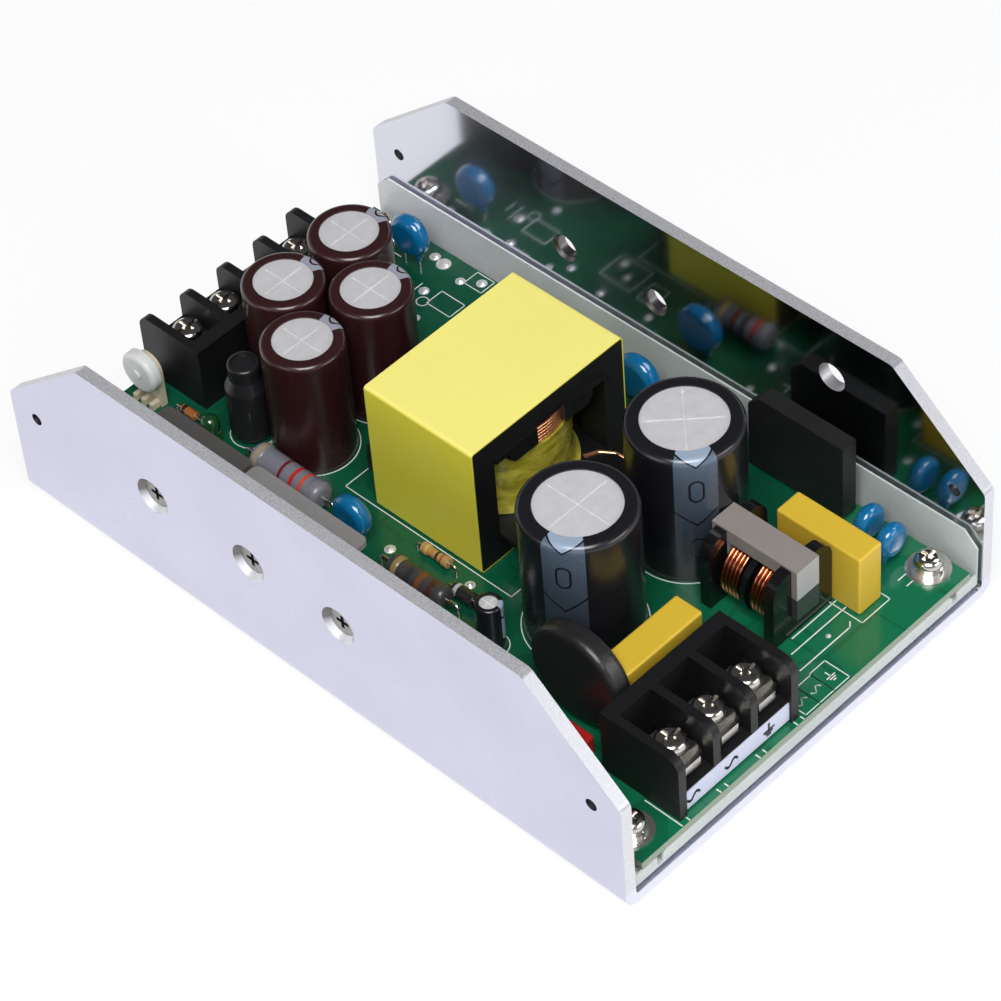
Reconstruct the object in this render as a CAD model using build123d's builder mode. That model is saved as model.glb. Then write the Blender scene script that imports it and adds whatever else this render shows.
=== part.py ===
from build123d import *
import os

os.makedirs("parts", exist_ok=True)

# Frame: X across the bracket, Y along it, Z up from the underside of the base.
# The input terminals are at the -Y end and the output terminals at the +Y end.

# How closely a point or a radius must agree when an edge is looked up
match_tolerance = 0.01

# Bracket
bracket_width = 96.0
bracket_length = 150.5
bracket_height = 44.3
sheet_thickness = 2.5
end_edge_height = 26.1
end_slope_run = 21.3
corner_round = 2.0
outer_bend_radius = 3.5
inner_bend_radius = 1.0
fixing_hole_radius = 1.25
fixing_hole_inset = 6.75
fixing_hole_z = 23.0
spare_hole_radius = 2.4
spare_hole_chamfer = 0.6
spare_hole_sites = [(24.7, 24.9), (2.1, 24.9)]
sight_hole_radius = 3.0
sight_hole_y = -40.4
sight_hole_z = 32.8

# Screws that hold the power transistors on the left wall
device_screw_ys = [37.4, 12.9, -9.4]
device_screw_z = 23.9
device_screw_radius = 1.5
device_head_radius = 2.9
device_head_depth = 1.4
device_screw_projection = 0.5
countersink_radius = 3.9
drive_slot_width = 0.8
drive_slot_length = 3.0
drive_slot_depth = 1.1
screw_clearance = 0.1
thread_fit = 0.02

# Board and its fixings
board_side_gap = 2.5
board_end_gap = 0.75
board_thickness = 1.6
standoff_height = 3.7
standoff_radius = 3.0
standoff_flange_radius = 4.5
standoff_flange_height = 0.8
standoff_shank_radius = 2.2
standoff_shank_length = 2.3
press_fit = 0.02
board_screw_side_inset = 4.0
board_screw_end_inset = 6.2
board_screw_radius = 1.5
board_screw_length = 8.0
board_head_radius = 2.7
board_head_height = 2.3
board_head_round = 1.4
flat_washer_radius = 4.2
flat_washer_thickness = 0.5
spring_washer_radius = 3.0
spring_washer_thickness = 0.8
spring_washer_gap = 0.7
washer_clearance = 0.1
lead_projection = 1.5
lead_fit = 0.05

# Insulating sheet
film_thickness = 0.4
film_wall_gap = 0.5
film_end_gap = 0.65
film_right_height = 12.3
film_left_height = 6.7
film_flap_slope = 3.0
end_strip_height = 2.8
end_strip_inset = 7.0
end_strip_round = 1.2
end_tab_width = 5.6
end_tab_height = 2.6
standoff_hole_clearance = 0.3

# Terminal blocks
pole_pitch = 9.5
barrier_thickness = 1.8
barrier_tip_radius = 2.6
input_poles = 3
input_block_x = -32.2
input_face_inset = 1.1
input_block_depth = 17.8
input_block_height = 14.6
input_ledge_height = 5.1
output_poles = 4
output_block_x = -16.9
output_face_overhang = 0.7
output_block_depth = 16.2
output_block_height = 14.6
output_ledge_height = 7.8
block_face_setback = 0.8
platform_front = 3.2
platform_back = 10.5
platform_height = 7.4
pocket_floor_height = 2.2
block_rear_wall = 3.0
label_thickness = 0.25
label_height = 4.2
label_base_gap = 0.6

# Contacts, clamps and screws of the terminal blocks
contact_width = 7.0
contact_thickness = 1.1
tongue_width = 4.2
tongue_drop = 0.9
contact_leg_width = 3.0
terminal_screw_inset = 6.9
terminal_screw_radius = 1.75
terminal_screw_depth = 7.5
terminal_bore_depth = 6.5
terminal_head_radius = 3.0
terminal_head_height = 2.5
terminal_head_round = 1.2
terminal_cross_length = 3.8
clamp_size = 6.4
clamp_thickness = 0.8
clamp_ridge_width = 0.7
clamp_ridge_height = 0.4

# Capacitor cans and their shrink sleeves: x, y of each axis
sleeve_thickness = 0.3
sleeve_fit = 0.02
input_capacitor_sites = [(-9.5, -30.6), (17.4, -30.9)]
input_capacitor_radius = 10.9
input_capacitor_height = 30.3
input_capacitor_opening = 8.0
input_capacitor_shoulder = 1.3
input_capacitor_lead_pitch = 10.0
output_capacitor_sites = [(15.8, 50.8), (-1.2, 50.8), (7.6, 37.0), (-9.8, 37.0)]
output_capacitor_radius = 7.9
output_capacitor_height = 27.0
output_capacitor_opening = 5.6
output_capacitor_shoulder = 1.1
output_capacitor_lead_pitch = 7.5
control_capacitor_site = (-24.3, -22.0)
control_capacitor_radius = 2.6
control_capacitor_height = 11.3
control_capacitor_opening = 1.7
control_capacitor_shoulder = 0.5
control_capacitor_lead_pitch = 2.0
cross_vent_turns = (0, 90)
diagonal_vent_turns = (45, 135)
single_vent_turns = (90,)
vent_groove_width = 0.5
vent_groove_depth = 0.2
vent_rim = 1.2
capacitor_lead_radius = 0.5

# Transformer
transformer_x = 5.85
transformer_y = 4.1
core_width = 38.2
core_depth = 26.4
core_height = 29.7
core_base_height = 0.45
core_plate = 4.6
core_corner_round = 0.5
core_leg_gap = 28.2
winding_window_radius = 15.8
center_post_radius = 7.2
core_tape_thickness = 0.25
bobbin_wall = 1.0
bobbin_fit = 0.1
bobbin_flange_thickness = 1.2
bobbin_overhang = 0.5
wire_notch_width = 7.0
ear_width = 7.2
ear_drop = 2.7
ear_thickness = 1.2
ear_chamfer = 1.4
rail_width = 28.0
rail_inner_y = 17.4
rail_outer_y = 20.8
winding_radius = 12.8
winding_tape_thickness = 0.5
winding_tape_flare = 1.1
winding_tape_flare_height = 3.5
winding_tape_drop = 4.2
pins_per_rail = 6
pin_pitch = 5.0
pin_size = 0.7
pin_depth = 3.0

# Common-mode choke
choke_x = 14.6
choke_core_width = 5.8
choke_front_y = -61.4
choke_core_length = 19.5
choke_core_top = 16.5
choke_top_bar = 3.0
choke_leg = 3.6
choke_low_bar = 4.8
choke_axis_height = 6.8
choke_flange_setback = 1.2
choke_flange_thickness = 2.3
choke_flange_width = 15.4
choke_flange_height = 16.2
choke_ear_round = 4.0
choke_tube_wall = 0.8
choke_fit = 0.1
choke_winding_radius = 6.3
choke_divider_thickness = 1.4
choke_divider_radius = 6.5
choke_pin_radius = 0.45
choke_pin_inset = 3.0
choke_pin_depth = 2.5

# Film box capacitors: x, y of the middle, size along X, size along Y, height
filter_capacitors = [
    (25.6, -56.7, 6.0, 19.2, 14.2),
    (-13.3, -50.4, 19.2, 6.2, 14.3),
]
filter_edge_round = 0.5
filter_foot_height = 0.4
filter_foot_width = 1.0
filter_lead_radius = 0.4
filter_lead_pitch = 15.0

# Bridge rectifier
bridge_edge_inset = 3.3
bridge_y = -38.3
bridge_thickness = 3.6
bridge_length = 22.2
bridge_height = 17.8
bridge_base_height = 0.6
bridge_corner_cut = 2.6
bridge_lead_pitch = 5.1
bridge_lead_radius = 0.5

# Disc parts
thermistor_x = -25.3
thermistor_y = -44.9
thermistor_radius = 10.4
thermistor_thickness = 4.5
thermistor_base_height = 0.4
thermistor_lead_pitch = 7.5
thermistor_lead_radius = 0.5
ceramic_rim_flat = 0.3
thermistor_rim_flat = 1.7
# x, y, height of the middle above the board, radius, thickness, along X or Y
ceramic_discs = [
    (-22.0, 14.5, 6.2, 4.25, 3.6, "X"),
    (36.5, 57.5, 7.3, 4.5, 3.6, "X"),
    (37.0, -1.0, 6.2, 5.0, 3.6, "X"),
    (38.0, -55.5, 4.4, 3.5, 3.0, "Y"),
    (37.0, -61.3, 4.4, 3.5, 3.0, "Y"),
]
ceramic_lead_radius = 0.3
ceramic_lead_offset = 2.0
ceramic_lead_depth = 1.4
ceramic_skirt_length = 1.4
ceramic_skirt_radius = 1.3
ceramic_skirt_foot = 0.55

# Fuse
fuse_edge_inset = 9.7
fuse_y = -48.8
fuse_width = 4.6
fuse_length = 8.4
fuse_height = 5.6
fuse_edge_round = 0.6
fuse_lead_pitch = 5.0
fuse_lead_radius = 0.3

# Axial parts along Y: x, y of the middle, height of the axis, radius, length
power_resistors = [
    (-20.9, 31.9, 3.7, 2.85, 17.4),
    (-23.5, -3.5, 2.8, 2.25, 14.0),
    (28.6, -4.8, 3.3, 2.6, 13.0),
]
resistor_end_round = 1.3
resistor_cap_length = 3.4
resistor_waist = 0.2
resistor_waist_round = 0.1
resistor_lead_radius = 0.4
resistor_lead_reach = 2.6
small_resistor = (-16.2, -0.5, 1.4, 1.1, 6.6)
small_resistor_waist = 0.2
small_resistor_cap = 1.6
axial_diodes = [
    (-19.9, -11.2, 1.6, 1.4, 5.2),
    (-20.2, 59.8, 1.3, 0.9, 3.8),
]
small_lead_radius = 0.3
small_lead_reach = 1.6
lead_bend_radius = 0.7

# Rod choke in a shrink sleeve
rod_choke_x = -15.2
rod_choke_y = 48.1
rod_choke_radius = 3.1
rod_choke_body_radius = 4.1
rod_choke_height = 18.2
rod_choke_shoulder_height = 12.6
rod_choke_shoulder_length = 2.4
rod_choke_foot_height = 1.4
rod_choke_recess_radius = 2.3
rod_choke_recess_depth = 0.5
rod_choke_round = 0.6
rod_choke_lead_pitch = 3.5

# Indicator lamp
lamp_x = -21.2
lamp_y = 52.9
lamp_radius = 1.9
lamp_flange_radius = 2.2
lamp_flange_height = 0.9
lamp_height = 5.6
lamp_lead_pitch = 2.54
lamp_lead_radius = 0.25

# Output trimmer
trimmer_y = 69.0
trimmer_axis_height = 8.2
trimmer_wheel_radius = 4.4
trimmer_wheel_thickness = 2.2
trimmer_wheel_round = 0.9
trimmer_wheel_face_x = -24.0
trimmer_boss_radius = 1.0
trimmer_boss_height = 0.4
trimmer_plate_thickness = 1.4
trimmer_plate_width = 6.4
trimmer_foot_reach = 1.9
trimmer_foot_height = 1.4
trimmer_tooth_width = 1.0
trimmer_tooth_pitch = 2.2
trimmer_pin_radius = 0.3

# Heat-spreading angles on the left wall: y of the start and of the end
angle_spans = [(-2.6, 25.4), (26.3, 48.3)]
angle_thickness = 1.2
angle_reach = 12.4
angle_top_z = 28.6
angle_leg_length = 11.6
angle_corner_round = 1.3
angle_bend_radius = 1.6

# Power transistors
pad_thickness = 0.3
pad_width = 11.0
pad_height = 16.0
transistor_width = 10.0
transistor_tab_thickness = 1.3
transistor_tab_top = 2.8
transistor_tab_height = 6.5
transistor_body_height = 9.2
transistor_body_thickness = 4.5
transistor_draft_chamfer = 0.6
transistor_lead_offset = 2.7
transistor_lead_pitch = 2.54
transistor_lead_radius = 0.35
nut_flats = 5.5
nut_thickness = 2.4

# Values that follow from the ones above
wall_inner_x = bracket_width / 2 - sheet_thickness
fixing_hole_y = bracket_length / 2 - fixing_hole_inset
board_width = 2 * (wall_inner_x - board_side_gap)
board_length = bracket_length - 2 * board_end_gap
board_screw_x = board_width / 2 - board_screw_side_inset
board_screw_y = board_length / 2 - board_screw_end_inset
film_length = bracket_length - 2 * film_end_gap
input_face_y = -board_length / 2 + input_face_inset
output_face_y = board_length / 2 + output_face_overhang
bridge_x = board_width / 2 - bridge_edge_inset
fuse_x = -board_width / 2 + fuse_edge_inset
board_bottom = sheet_thickness + standoff_height
board_top = board_bottom + board_thickness
lead_end = board_bottom - lead_projection
film_bottom = sheet_thickness + standoff_flange_height
flap_x = wall_inner_x - film_wall_gap
end_strip_half_width = flap_x - end_strip_inset
core_bottom = board_top + core_base_height
core_top = core_bottom + core_height
core_middle = core_bottom + core_height / 2
contact_top = board_top + platform_height + contact_thickness

# Holes that the board needs: x, y, radius, and slots: x, y, size along X, size along Y
board_holes = []
board_slots = []
# Straight leads that end inside or under a component: x, y, radius, top
straight_leads = []
# Finished leads with a bend
bent_lead_parts = []


def save(piece, name):
    """Label a finished piece and write it to its own file."""
    piece.label = name
    export_step(piece, f"parts/{name}.step")


def corner_sites(z):
    """The four screw positions at the corners of the board."""
    return [(sx * board_screw_x, sy * board_screw_y, z) for sx in (-1, 1) for sy in (-1, 1)]


def add_lead(x, y, radius, top):
    """Note a straight lead and the board hole that it passes through."""
    straight_leads.append((x, y, radius, top))
    board_holes.append((x, y, radius + lead_fit))


# Bracket: one folded aluminium sheet
def make_bracket():
    with BuildPart() as bracket:
        with BuildSketch(Plane.XZ) as section:
            with Locations((0, bracket_height / 2)):
                Rectangle(bracket_width, bracket_height)
            fillet(section.vertices().group_by(Axis.Y)[0], outer_bend_radius)
            with Locations((0, sheet_thickness + bracket_height / 2)):
                Rectangle(2 * wall_inner_x, bracket_height, mode=Mode.SUBTRACT)
            inner_corners = section.vertices().filter_by(
                lambda v: abs(v.Y - sheet_thickness) < match_tolerance
                and abs(abs(v.X) - wall_inner_x) < match_tolerance
            )
            fillet(inner_corners, inner_bend_radius)
        extrude(amount=bracket_length / 2, both=True)

        # Sloping ends of the walls
        with BuildSketch(Plane.YZ) as side_view:
            with BuildLine():
                Polyline(
                    (-bracket_length / 2, 0),
                    (bracket_length / 2, 0),
                    (bracket_length / 2, end_edge_height),
                    (bracket_length / 2 - end_slope_run, bracket_height),
                    (-bracket_length / 2 + end_slope_run, bracket_height),
                    (-bracket_length / 2, end_edge_height),
                    close=True,
                )
            make_face()
            fillet(side_view.vertices().filter_by(lambda v: v.Y > sheet_thickness), corner_round)
        extrude(amount=bracket_width, both=True, mode=Mode.INTERSECT)

        # Holes in the base for the standoffs
        with BuildSketch(Plane.XY):
            with GridLocations(2 * board_screw_x, 2 * board_screw_y, 2, 2):
                Circle(standoff_shank_radius + press_fit)
        extrude(amount=sheet_thickness, mode=Mode.SUBTRACT)

        # Tapped fixing holes near the ends of both walls
        with BuildSketch(Plane.YZ.offset(-bracket_width / 2)):
            with Locations((-fixing_hole_y, fixing_hole_z), (fixing_hole_y, fixing_hole_z)):
                Circle(fixing_hole_radius)
        extrude(amount=bracket_width, mode=Mode.SUBTRACT)

        # Countersunk holes in the left wall
        for y in device_screw_ys:
            with Locations(Plane(origin=(-bracket_width / 2, y, device_screw_z), z_dir=(-1, 0, 0))):
                CounterSinkHole(device_screw_radius + screw_clearance, countersink_radius, sheet_thickness)

        # Plain holes in the right wall, two of them eased on the inside
        with BuildSketch(Plane.YZ.offset(wall_inner_x)):
            with Locations(*spare_hole_sites):
                Circle(spare_hole_radius)
            with Locations((sight_hole_y, sight_hole_z)):
                Circle(sight_hole_radius)
        extrude(amount=sheet_thickness, mode=Mode.SUBTRACT)
        rims = bracket.edges().filter_by(GeomType.CIRCLE).filter_by(
            lambda e: abs(e.arc_center.X - wall_inner_x) < match_tolerance
            and abs(e.radius - spare_hole_radius) < match_tolerance
        )
        chamfer(rims, spare_hole_chamfer)
    save(bracket.part, "bracket")


# Insulating sheet: one folded plastic film between the base and the board
def make_insulating_sheet():
    half_length = film_length / 2
    with BuildPart() as film:
        with BuildSketch(Plane.XY.offset(film_bottom)):
            Rectangle(2 * flap_x, film_length)
            with GridLocations(2 * board_screw_x, 2 * board_screw_y, 2, 2):
                Circle(standoff_radius + standoff_hole_clearance, mode=Mode.SUBTRACT)
        extrude(amount=film_thickness)

        # Side flaps, the right one taller
        for flap_plane, flap_height in (
            (Plane.YZ.offset(flap_x - film_thickness), film_right_height),
            (Plane.YZ.offset(-flap_x), film_left_height),
        ):
            with BuildSketch(flap_plane) as flap:
                with Locations((0, film_bottom + flap_height / 2)):
                    Rectangle(film_length, flap_height)
                chamfer(flap.vertices().group_by(Axis.Y)[-1], film_flap_slope)
            extrude(amount=film_thickness)

        # End strips and the small corner tabs beside them
        for end_plane in (Plane.XZ.offset(half_length - film_thickness), Plane.XZ.offset(-half_length)):
            with BuildSketch(end_plane) as strip:
                with Locations((0, film_bottom + end_strip_height / 2)):
                    Rectangle(2 * end_strip_half_width, end_strip_height)
                fillet(strip.vertices().group_by(Axis.Y)[-1], end_strip_round)
            extrude(amount=film_thickness)
            with BuildSketch(end_plane):
                for side in (-1, 1):
                    with Locations((side * (flap_x - end_tab_width / 2), film_bottom + end_tab_height / 2)):
                        Rectangle(end_tab_width, end_tab_height)
            extrude(amount=film_thickness)
    save(film.part, "insulating_sheet")


# Standoffs: turned spacers pressed in the base
def make_standoffs():
    with BuildPart() as standoffs:
        with Locations(*corner_sites(sheet_thickness)):
            Cylinder(standoff_radius, standoff_height, align=(Align.CENTER, Align.CENTER, Align.MIN))
            Cylinder(
                standoff_flange_radius,
                standoff_flange_height,
                align=(Align.CENTER, Align.CENTER, Align.MIN),
            )
            Cylinder(
                standoff_shank_radius,
                standoff_shank_length,
                align=(Align.CENTER, Align.CENTER, Align.MAX),
            )
            Cylinder(
                board_screw_radius + thread_fit,
                2 * (standoff_height + standoff_shank_length),
                mode=Mode.SUBTRACT,
            )
    save(standoffs.part, "standoffs")


def pan_screw(
    head_radius, head_height, head_round, shank_radius, shank_length, cross_length, slot_length
):
    """Pan head screw with a cross recess and a slot, its head resting on z = 0."""
    with BuildPart() as screw:
        Cylinder(head_radius, head_height, align=(Align.CENTER, Align.CENTER, Align.MIN))
        fillet(screw.edges().group_by(Axis.Z)[-1], head_round)
        Cylinder(shank_radius, shank_length, align=(Align.CENTER, Align.CENTER, Align.MAX))
        with BuildSketch(Plane.XY.offset(head_height)):
            Rectangle(cross_length, drive_slot_width)
            Rectangle(drive_slot_width, cross_length)
            Rectangle(slot_length, drive_slot_width)
        extrude(amount=-drive_slot_depth, mode=Mode.SUBTRACT)
    return screw.part


# Screws and washers at the corners of the board
def make_board_fixings():
    washer_hole = board_screw_radius + washer_clearance
    spring_bottom = board_top + flat_washer_thickness
    head_bottom = spring_bottom + spring_washer_thickness
    screw = pan_screw(
        board_head_radius,
        board_head_height,
        board_head_round,
        board_screw_radius,
        board_screw_length,
        drive_slot_length,
        drive_slot_length,
    )
    with BuildPart() as flat_washers:
        with BuildSketch(Plane.XY.offset(board_top)):
            with GridLocations(2 * board_screw_x, 2 * board_screw_y, 2, 2):
                Circle(flat_washer_radius)
                Circle(washer_hole, mode=Mode.SUBTRACT)
        extrude(amount=flat_washer_thickness)
    with BuildPart() as spring_washers:
        with BuildSketch(Plane.XY.offset(spring_bottom)):
            with GridLocations(2 * board_screw_x, 2 * board_screw_y, 2, 2):
                Circle(spring_washer_radius)
                Circle(washer_hole, mode=Mode.SUBTRACT)
            with Locations(*[(x, y - spring_washer_radius) for x, y, z in corner_sites(0)]):
                Rectangle(spring_washer_gap, 2 * spring_washer_radius - washer_hole, mode=Mode.SUBTRACT)
        extrude(amount=spring_washer_thickness)
    with BuildPart() as board_screws:
        with Locations(*corner_sites(head_bottom)):
            add(screw)
    save(flat_washers.part, "flat_washers")
    save(spring_washers.part, "spring_washers")
    save(board_screws.part, "board_screws")


def terminal_housing(poles, first_x, face_y, inward, depth, height, ledge_height):
    """Moulded barrier block. Inward is the direction along Y from the open face."""

    def at(inset, rise):
        return (face_y + inward * inset, board_top + rise)

    tip_index = 0 if inward > 0 else -1
    pocket_back = depth - block_rear_wall
    tongue_seat = platform_height - tongue_drop - contact_thickness
    with BuildPart() as housing:
        # Stepped section between the barriers: ledge, platform, pocket and rear wall
        with BuildSketch(Plane.YZ.offset(first_x)):
            with BuildLine():
                Polyline(
                    at(block_face_setback, 0),
                    at(block_face_setback, ledge_height),
                    at(platform_front - contact_thickness, ledge_height),
                    at(platform_front - contact_thickness, tongue_seat),
                    at(platform_front, tongue_seat),
                    at(platform_front, platform_height),
                    at(platform_back, platform_height),
                    at(platform_back, pocket_floor_height),
                    at(pocket_back, pocket_floor_height),
                    at(pocket_back, height),
                    at(depth, height),
                    at(depth, 0),
                    close=True,
                )
            make_face()
        extrude(amount=poles * pole_pitch + barrier_thickness)

        # Barriers, the two end walls reaching the open face and the board
        for index in range(poles + 1):
            is_end = index in (0, poles)
            front = 0 if is_end else block_face_setback
            foot = 0 if is_end else ledge_height
            with BuildSketch(Plane.YZ.offset(first_x + index * pole_pitch)) as barrier:
                with BuildLine():
                    Polyline(
                        at(front, foot),
                        at(depth, foot),
                        at(depth, height),
                        at(front, height),
                        close=True,
                    )
                make_face()
                top_corners = barrier.vertices().group_by(Axis.Y)[-1].sort_by(Axis.X)
                fillet(top_corners[tip_index], barrier_tip_radius)
            extrude(amount=barrier_thickness)

        # Screw bores and slots for the contact legs
        for index in range(poles):
            x = pole_x(first_x, index)
            with BuildSketch(Plane.XY.offset(board_top + platform_height)):
                with Locations((x, face_y + inward * terminal_screw_inset)):
                    Circle(terminal_screw_radius + thread_fit)
            extrude(amount=-terminal_bore_depth, mode=Mode.SUBTRACT)
            with BuildSketch(Plane.XY.offset(board_top)):
                with Locations((x, face_y + inward * (platform_back + contact_thickness / 2))):
                    Rectangle(contact_leg_width + 2 * lead_fit, contact_thickness + 2 * lead_fit)
            extrude(amount=pocket_floor_height, mode=Mode.SUBTRACT)
    return housing.part


def pole_x(first_x, index):
    """Middle of the cell between two barriers."""
    return first_x + barrier_thickness / 2 + (index + 0.5) * pole_pitch


# Terminal blocks with their contacts, clamps and screws
def make_terminals():
    input_housing = terminal_housing(
        input_poles,
        input_block_x,
        input_face_y,
        1,
        input_block_depth,
        input_block_height,
        input_ledge_height,
    )
    output_housing = terminal_housing(
        output_poles,
        output_block_x,
        output_face_y,
        -1,
        output_block_depth,
        output_block_height,
        output_ledge_height,
    )
    save(input_housing, "input_terminal_housing")
    save(output_housing, "output_terminal_housing")

    # Label strip on the front face, between the end walls
    label_width = input_poles * pole_pitch - barrier_thickness
    with BuildPart() as label:
        with BuildSketch(Plane.XZ.offset(-(input_face_y + block_face_setback))):
            with Locations(
                (
                    input_block_x + barrier_thickness + label_width / 2,
                    board_top + label_base_gap + label_height / 2,
                )
            ):
                Rectangle(label_width, label_height)
        extrude(amount=label_thickness)
    save(label.part, "input_terminal_label")

    # Every pole: x, face y, inward direction
    poles = [(pole_x(input_block_x, i), input_face_y, 1) for i in range(input_poles)]
    poles += [(pole_x(output_block_x, i), output_face_y, -1) for i in range(output_poles)]
    plate_bottom = board_top + platform_height
    plate_length = platform_back - platform_front
    tongue_bottom = plate_bottom - tongue_drop
    with BuildPart() as contacts:
        for x, face_y, inward in poles:
            screw_site = (x, face_y + inward * terminal_screw_inset)
            tongue_site = (x, face_y + inward * (platform_front - contact_thickness / 2))
            leg_site = (x, face_y + inward * (platform_back + contact_thickness / 2))
            with BuildSketch(Plane.XY.offset(plate_bottom)):
                with Locations((x, face_y + inward * (platform_front + plate_length / 2))):
                    Rectangle(contact_width, plate_length)
                with Locations(tongue_site):
                    Rectangle(tongue_width, contact_thickness)
                with Locations(leg_site):
                    Rectangle(contact_leg_width, contact_thickness)
                with Locations(screw_site):
                    Circle(terminal_screw_radius + screw_clearance, mode=Mode.SUBTRACT)
            extrude(amount=contact_thickness)
            with BuildSketch(Plane.XY.offset(tongue_bottom)):
                with Locations(tongue_site):
                    Rectangle(tongue_width, contact_thickness)
            extrude(amount=tongue_drop)
            with BuildSketch(Plane.XY.offset(lead_end)):
                with Locations(leg_site):
                    Rectangle(contact_leg_width, contact_thickness)
            extrude(amount=plate_bottom - lead_end)
            board_slots.append((*leg_site, contact_leg_width, contact_thickness))
    save(contacts.part, "terminal_contacts")

    with BuildPart() as clamps:
        for x, face_y, inward in poles:
            screw_site = (x, face_y + inward * terminal_screw_inset)
            ridge_offset = (clamp_size - clamp_ridge_width) / 2
            with BuildSketch(Plane.XY.offset(contact_top)):
                with Locations(screw_site):
                    Rectangle(clamp_size, clamp_size)
                    Circle(terminal_screw_radius + screw_clearance, mode=Mode.SUBTRACT)
            extrude(amount=clamp_thickness)
            with BuildSketch(Plane.XY.offset(contact_top + clamp_thickness)):
                with Locations(*[(x, screw_site[1] + side * ridge_offset) for side in (-1, 1)]):
                    Rectangle(clamp_size, clamp_ridge_width)
                with Locations(screw_site):
                    Circle(terminal_head_radius + screw_clearance, mode=Mode.SUBTRACT)
            extrude(amount=clamp_ridge_height)
    save(clamps.part, "terminal_clamps")

    screw = pan_screw(
        terminal_head_radius,
        terminal_head_height,
        terminal_head_round,
        terminal_screw_radius,
        terminal_screw_depth,
        terminal_cross_length,
        2 * terminal_head_radius,
    )
    head_bottom = contact_top + clamp_thickness
    head_sites = [(x, face_y + inward * terminal_screw_inset, head_bottom) for x, face_y, inward in poles]
    with BuildPart() as screws:
        with Locations(*head_sites):
            add(screw)
    save(screws.part, "terminal_screws")


def capacitor(name, site, radius, height, opening, shoulder, lead_pitch, vent_turns):
    """Aluminium can with a scored vent, and the shrink sleeve that grips it."""
    x, y = site
    can_radius = radius - sleeve_thickness - sleeve_fit
    can_top = board_top + height - sleeve_thickness - sleeve_fit
    with BuildPart() as can:
        with BuildSketch(Plane.XY.offset(board_top)):
            with Locations(site):
                Circle(can_radius)
        extrude(amount=can_top - board_top)
        fillet(can.edges().group_by(Axis.Z)[-1], shoulder - sleeve_thickness)
        for turn in vent_turns:
            with BuildSketch(Plane.XY.offset(can_top)):
                with Locations(site):
                    Rectangle(2 * (opening - vent_rim), vent_groove_width, rotation=turn)
            extrude(amount=-vent_groove_depth, mode=Mode.SUBTRACT)
    with BuildPart() as sleeve:
        with BuildSketch(Plane.XY.offset(board_top)):
            with Locations(site):
                Circle(radius)
        extrude(amount=height)
        fillet(sleeve.edges().group_by(Axis.Z)[-1], shoulder)
        offset(amount=-sleeve_thickness, openings=sleeve.faces().sort_by(Axis.Z)[0])
        with BuildSketch(Plane.XY.offset(board_top + height)):
            with Locations(site):
                Circle(opening)
        extrude(amount=-2 * sleeve_thickness, mode=Mode.SUBTRACT)
    save(can.part, f"{name}_can")
    save(sleeve.part, f"{name}_sleeve")
    for side in (-1, 1):
        add_lead(x + side * lead_pitch / 2, y, min(capacitor_lead_radius, lead_pitch / 6), board_top)


# Capacitors: two for the mains side, four for the output, one for the control circuit
def make_capacitors():
    for number, (site, vents) in enumerate(
        zip(input_capacitor_sites, [cross_vent_turns, diagonal_vent_turns]), 1
    ):
        capacitor(
            f"input_capacitor_{number}",
            site,
            input_capacitor_radius,
            input_capacitor_height,
            input_capacitor_opening,
            input_capacitor_shoulder,
            input_capacitor_lead_pitch,
            vents,
        )
    for number, site in enumerate(output_capacitor_sites, 1):
        capacitor(
            f"output_capacitor_{number}",
            site,
            output_capacitor_radius,
            output_capacitor_height,
            output_capacitor_opening,
            output_capacitor_shoulder,
            output_capacitor_lead_pitch,
            cross_vent_turns,
        )
    capacitor(
        "control_capacitor",
        control_capacitor_site,
        control_capacitor_radius,
        control_capacitor_height,
        control_capacitor_opening,
        control_capacitor_shoulder,
        control_capacitor_lead_pitch,
        single_vent_turns,
    )


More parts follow.
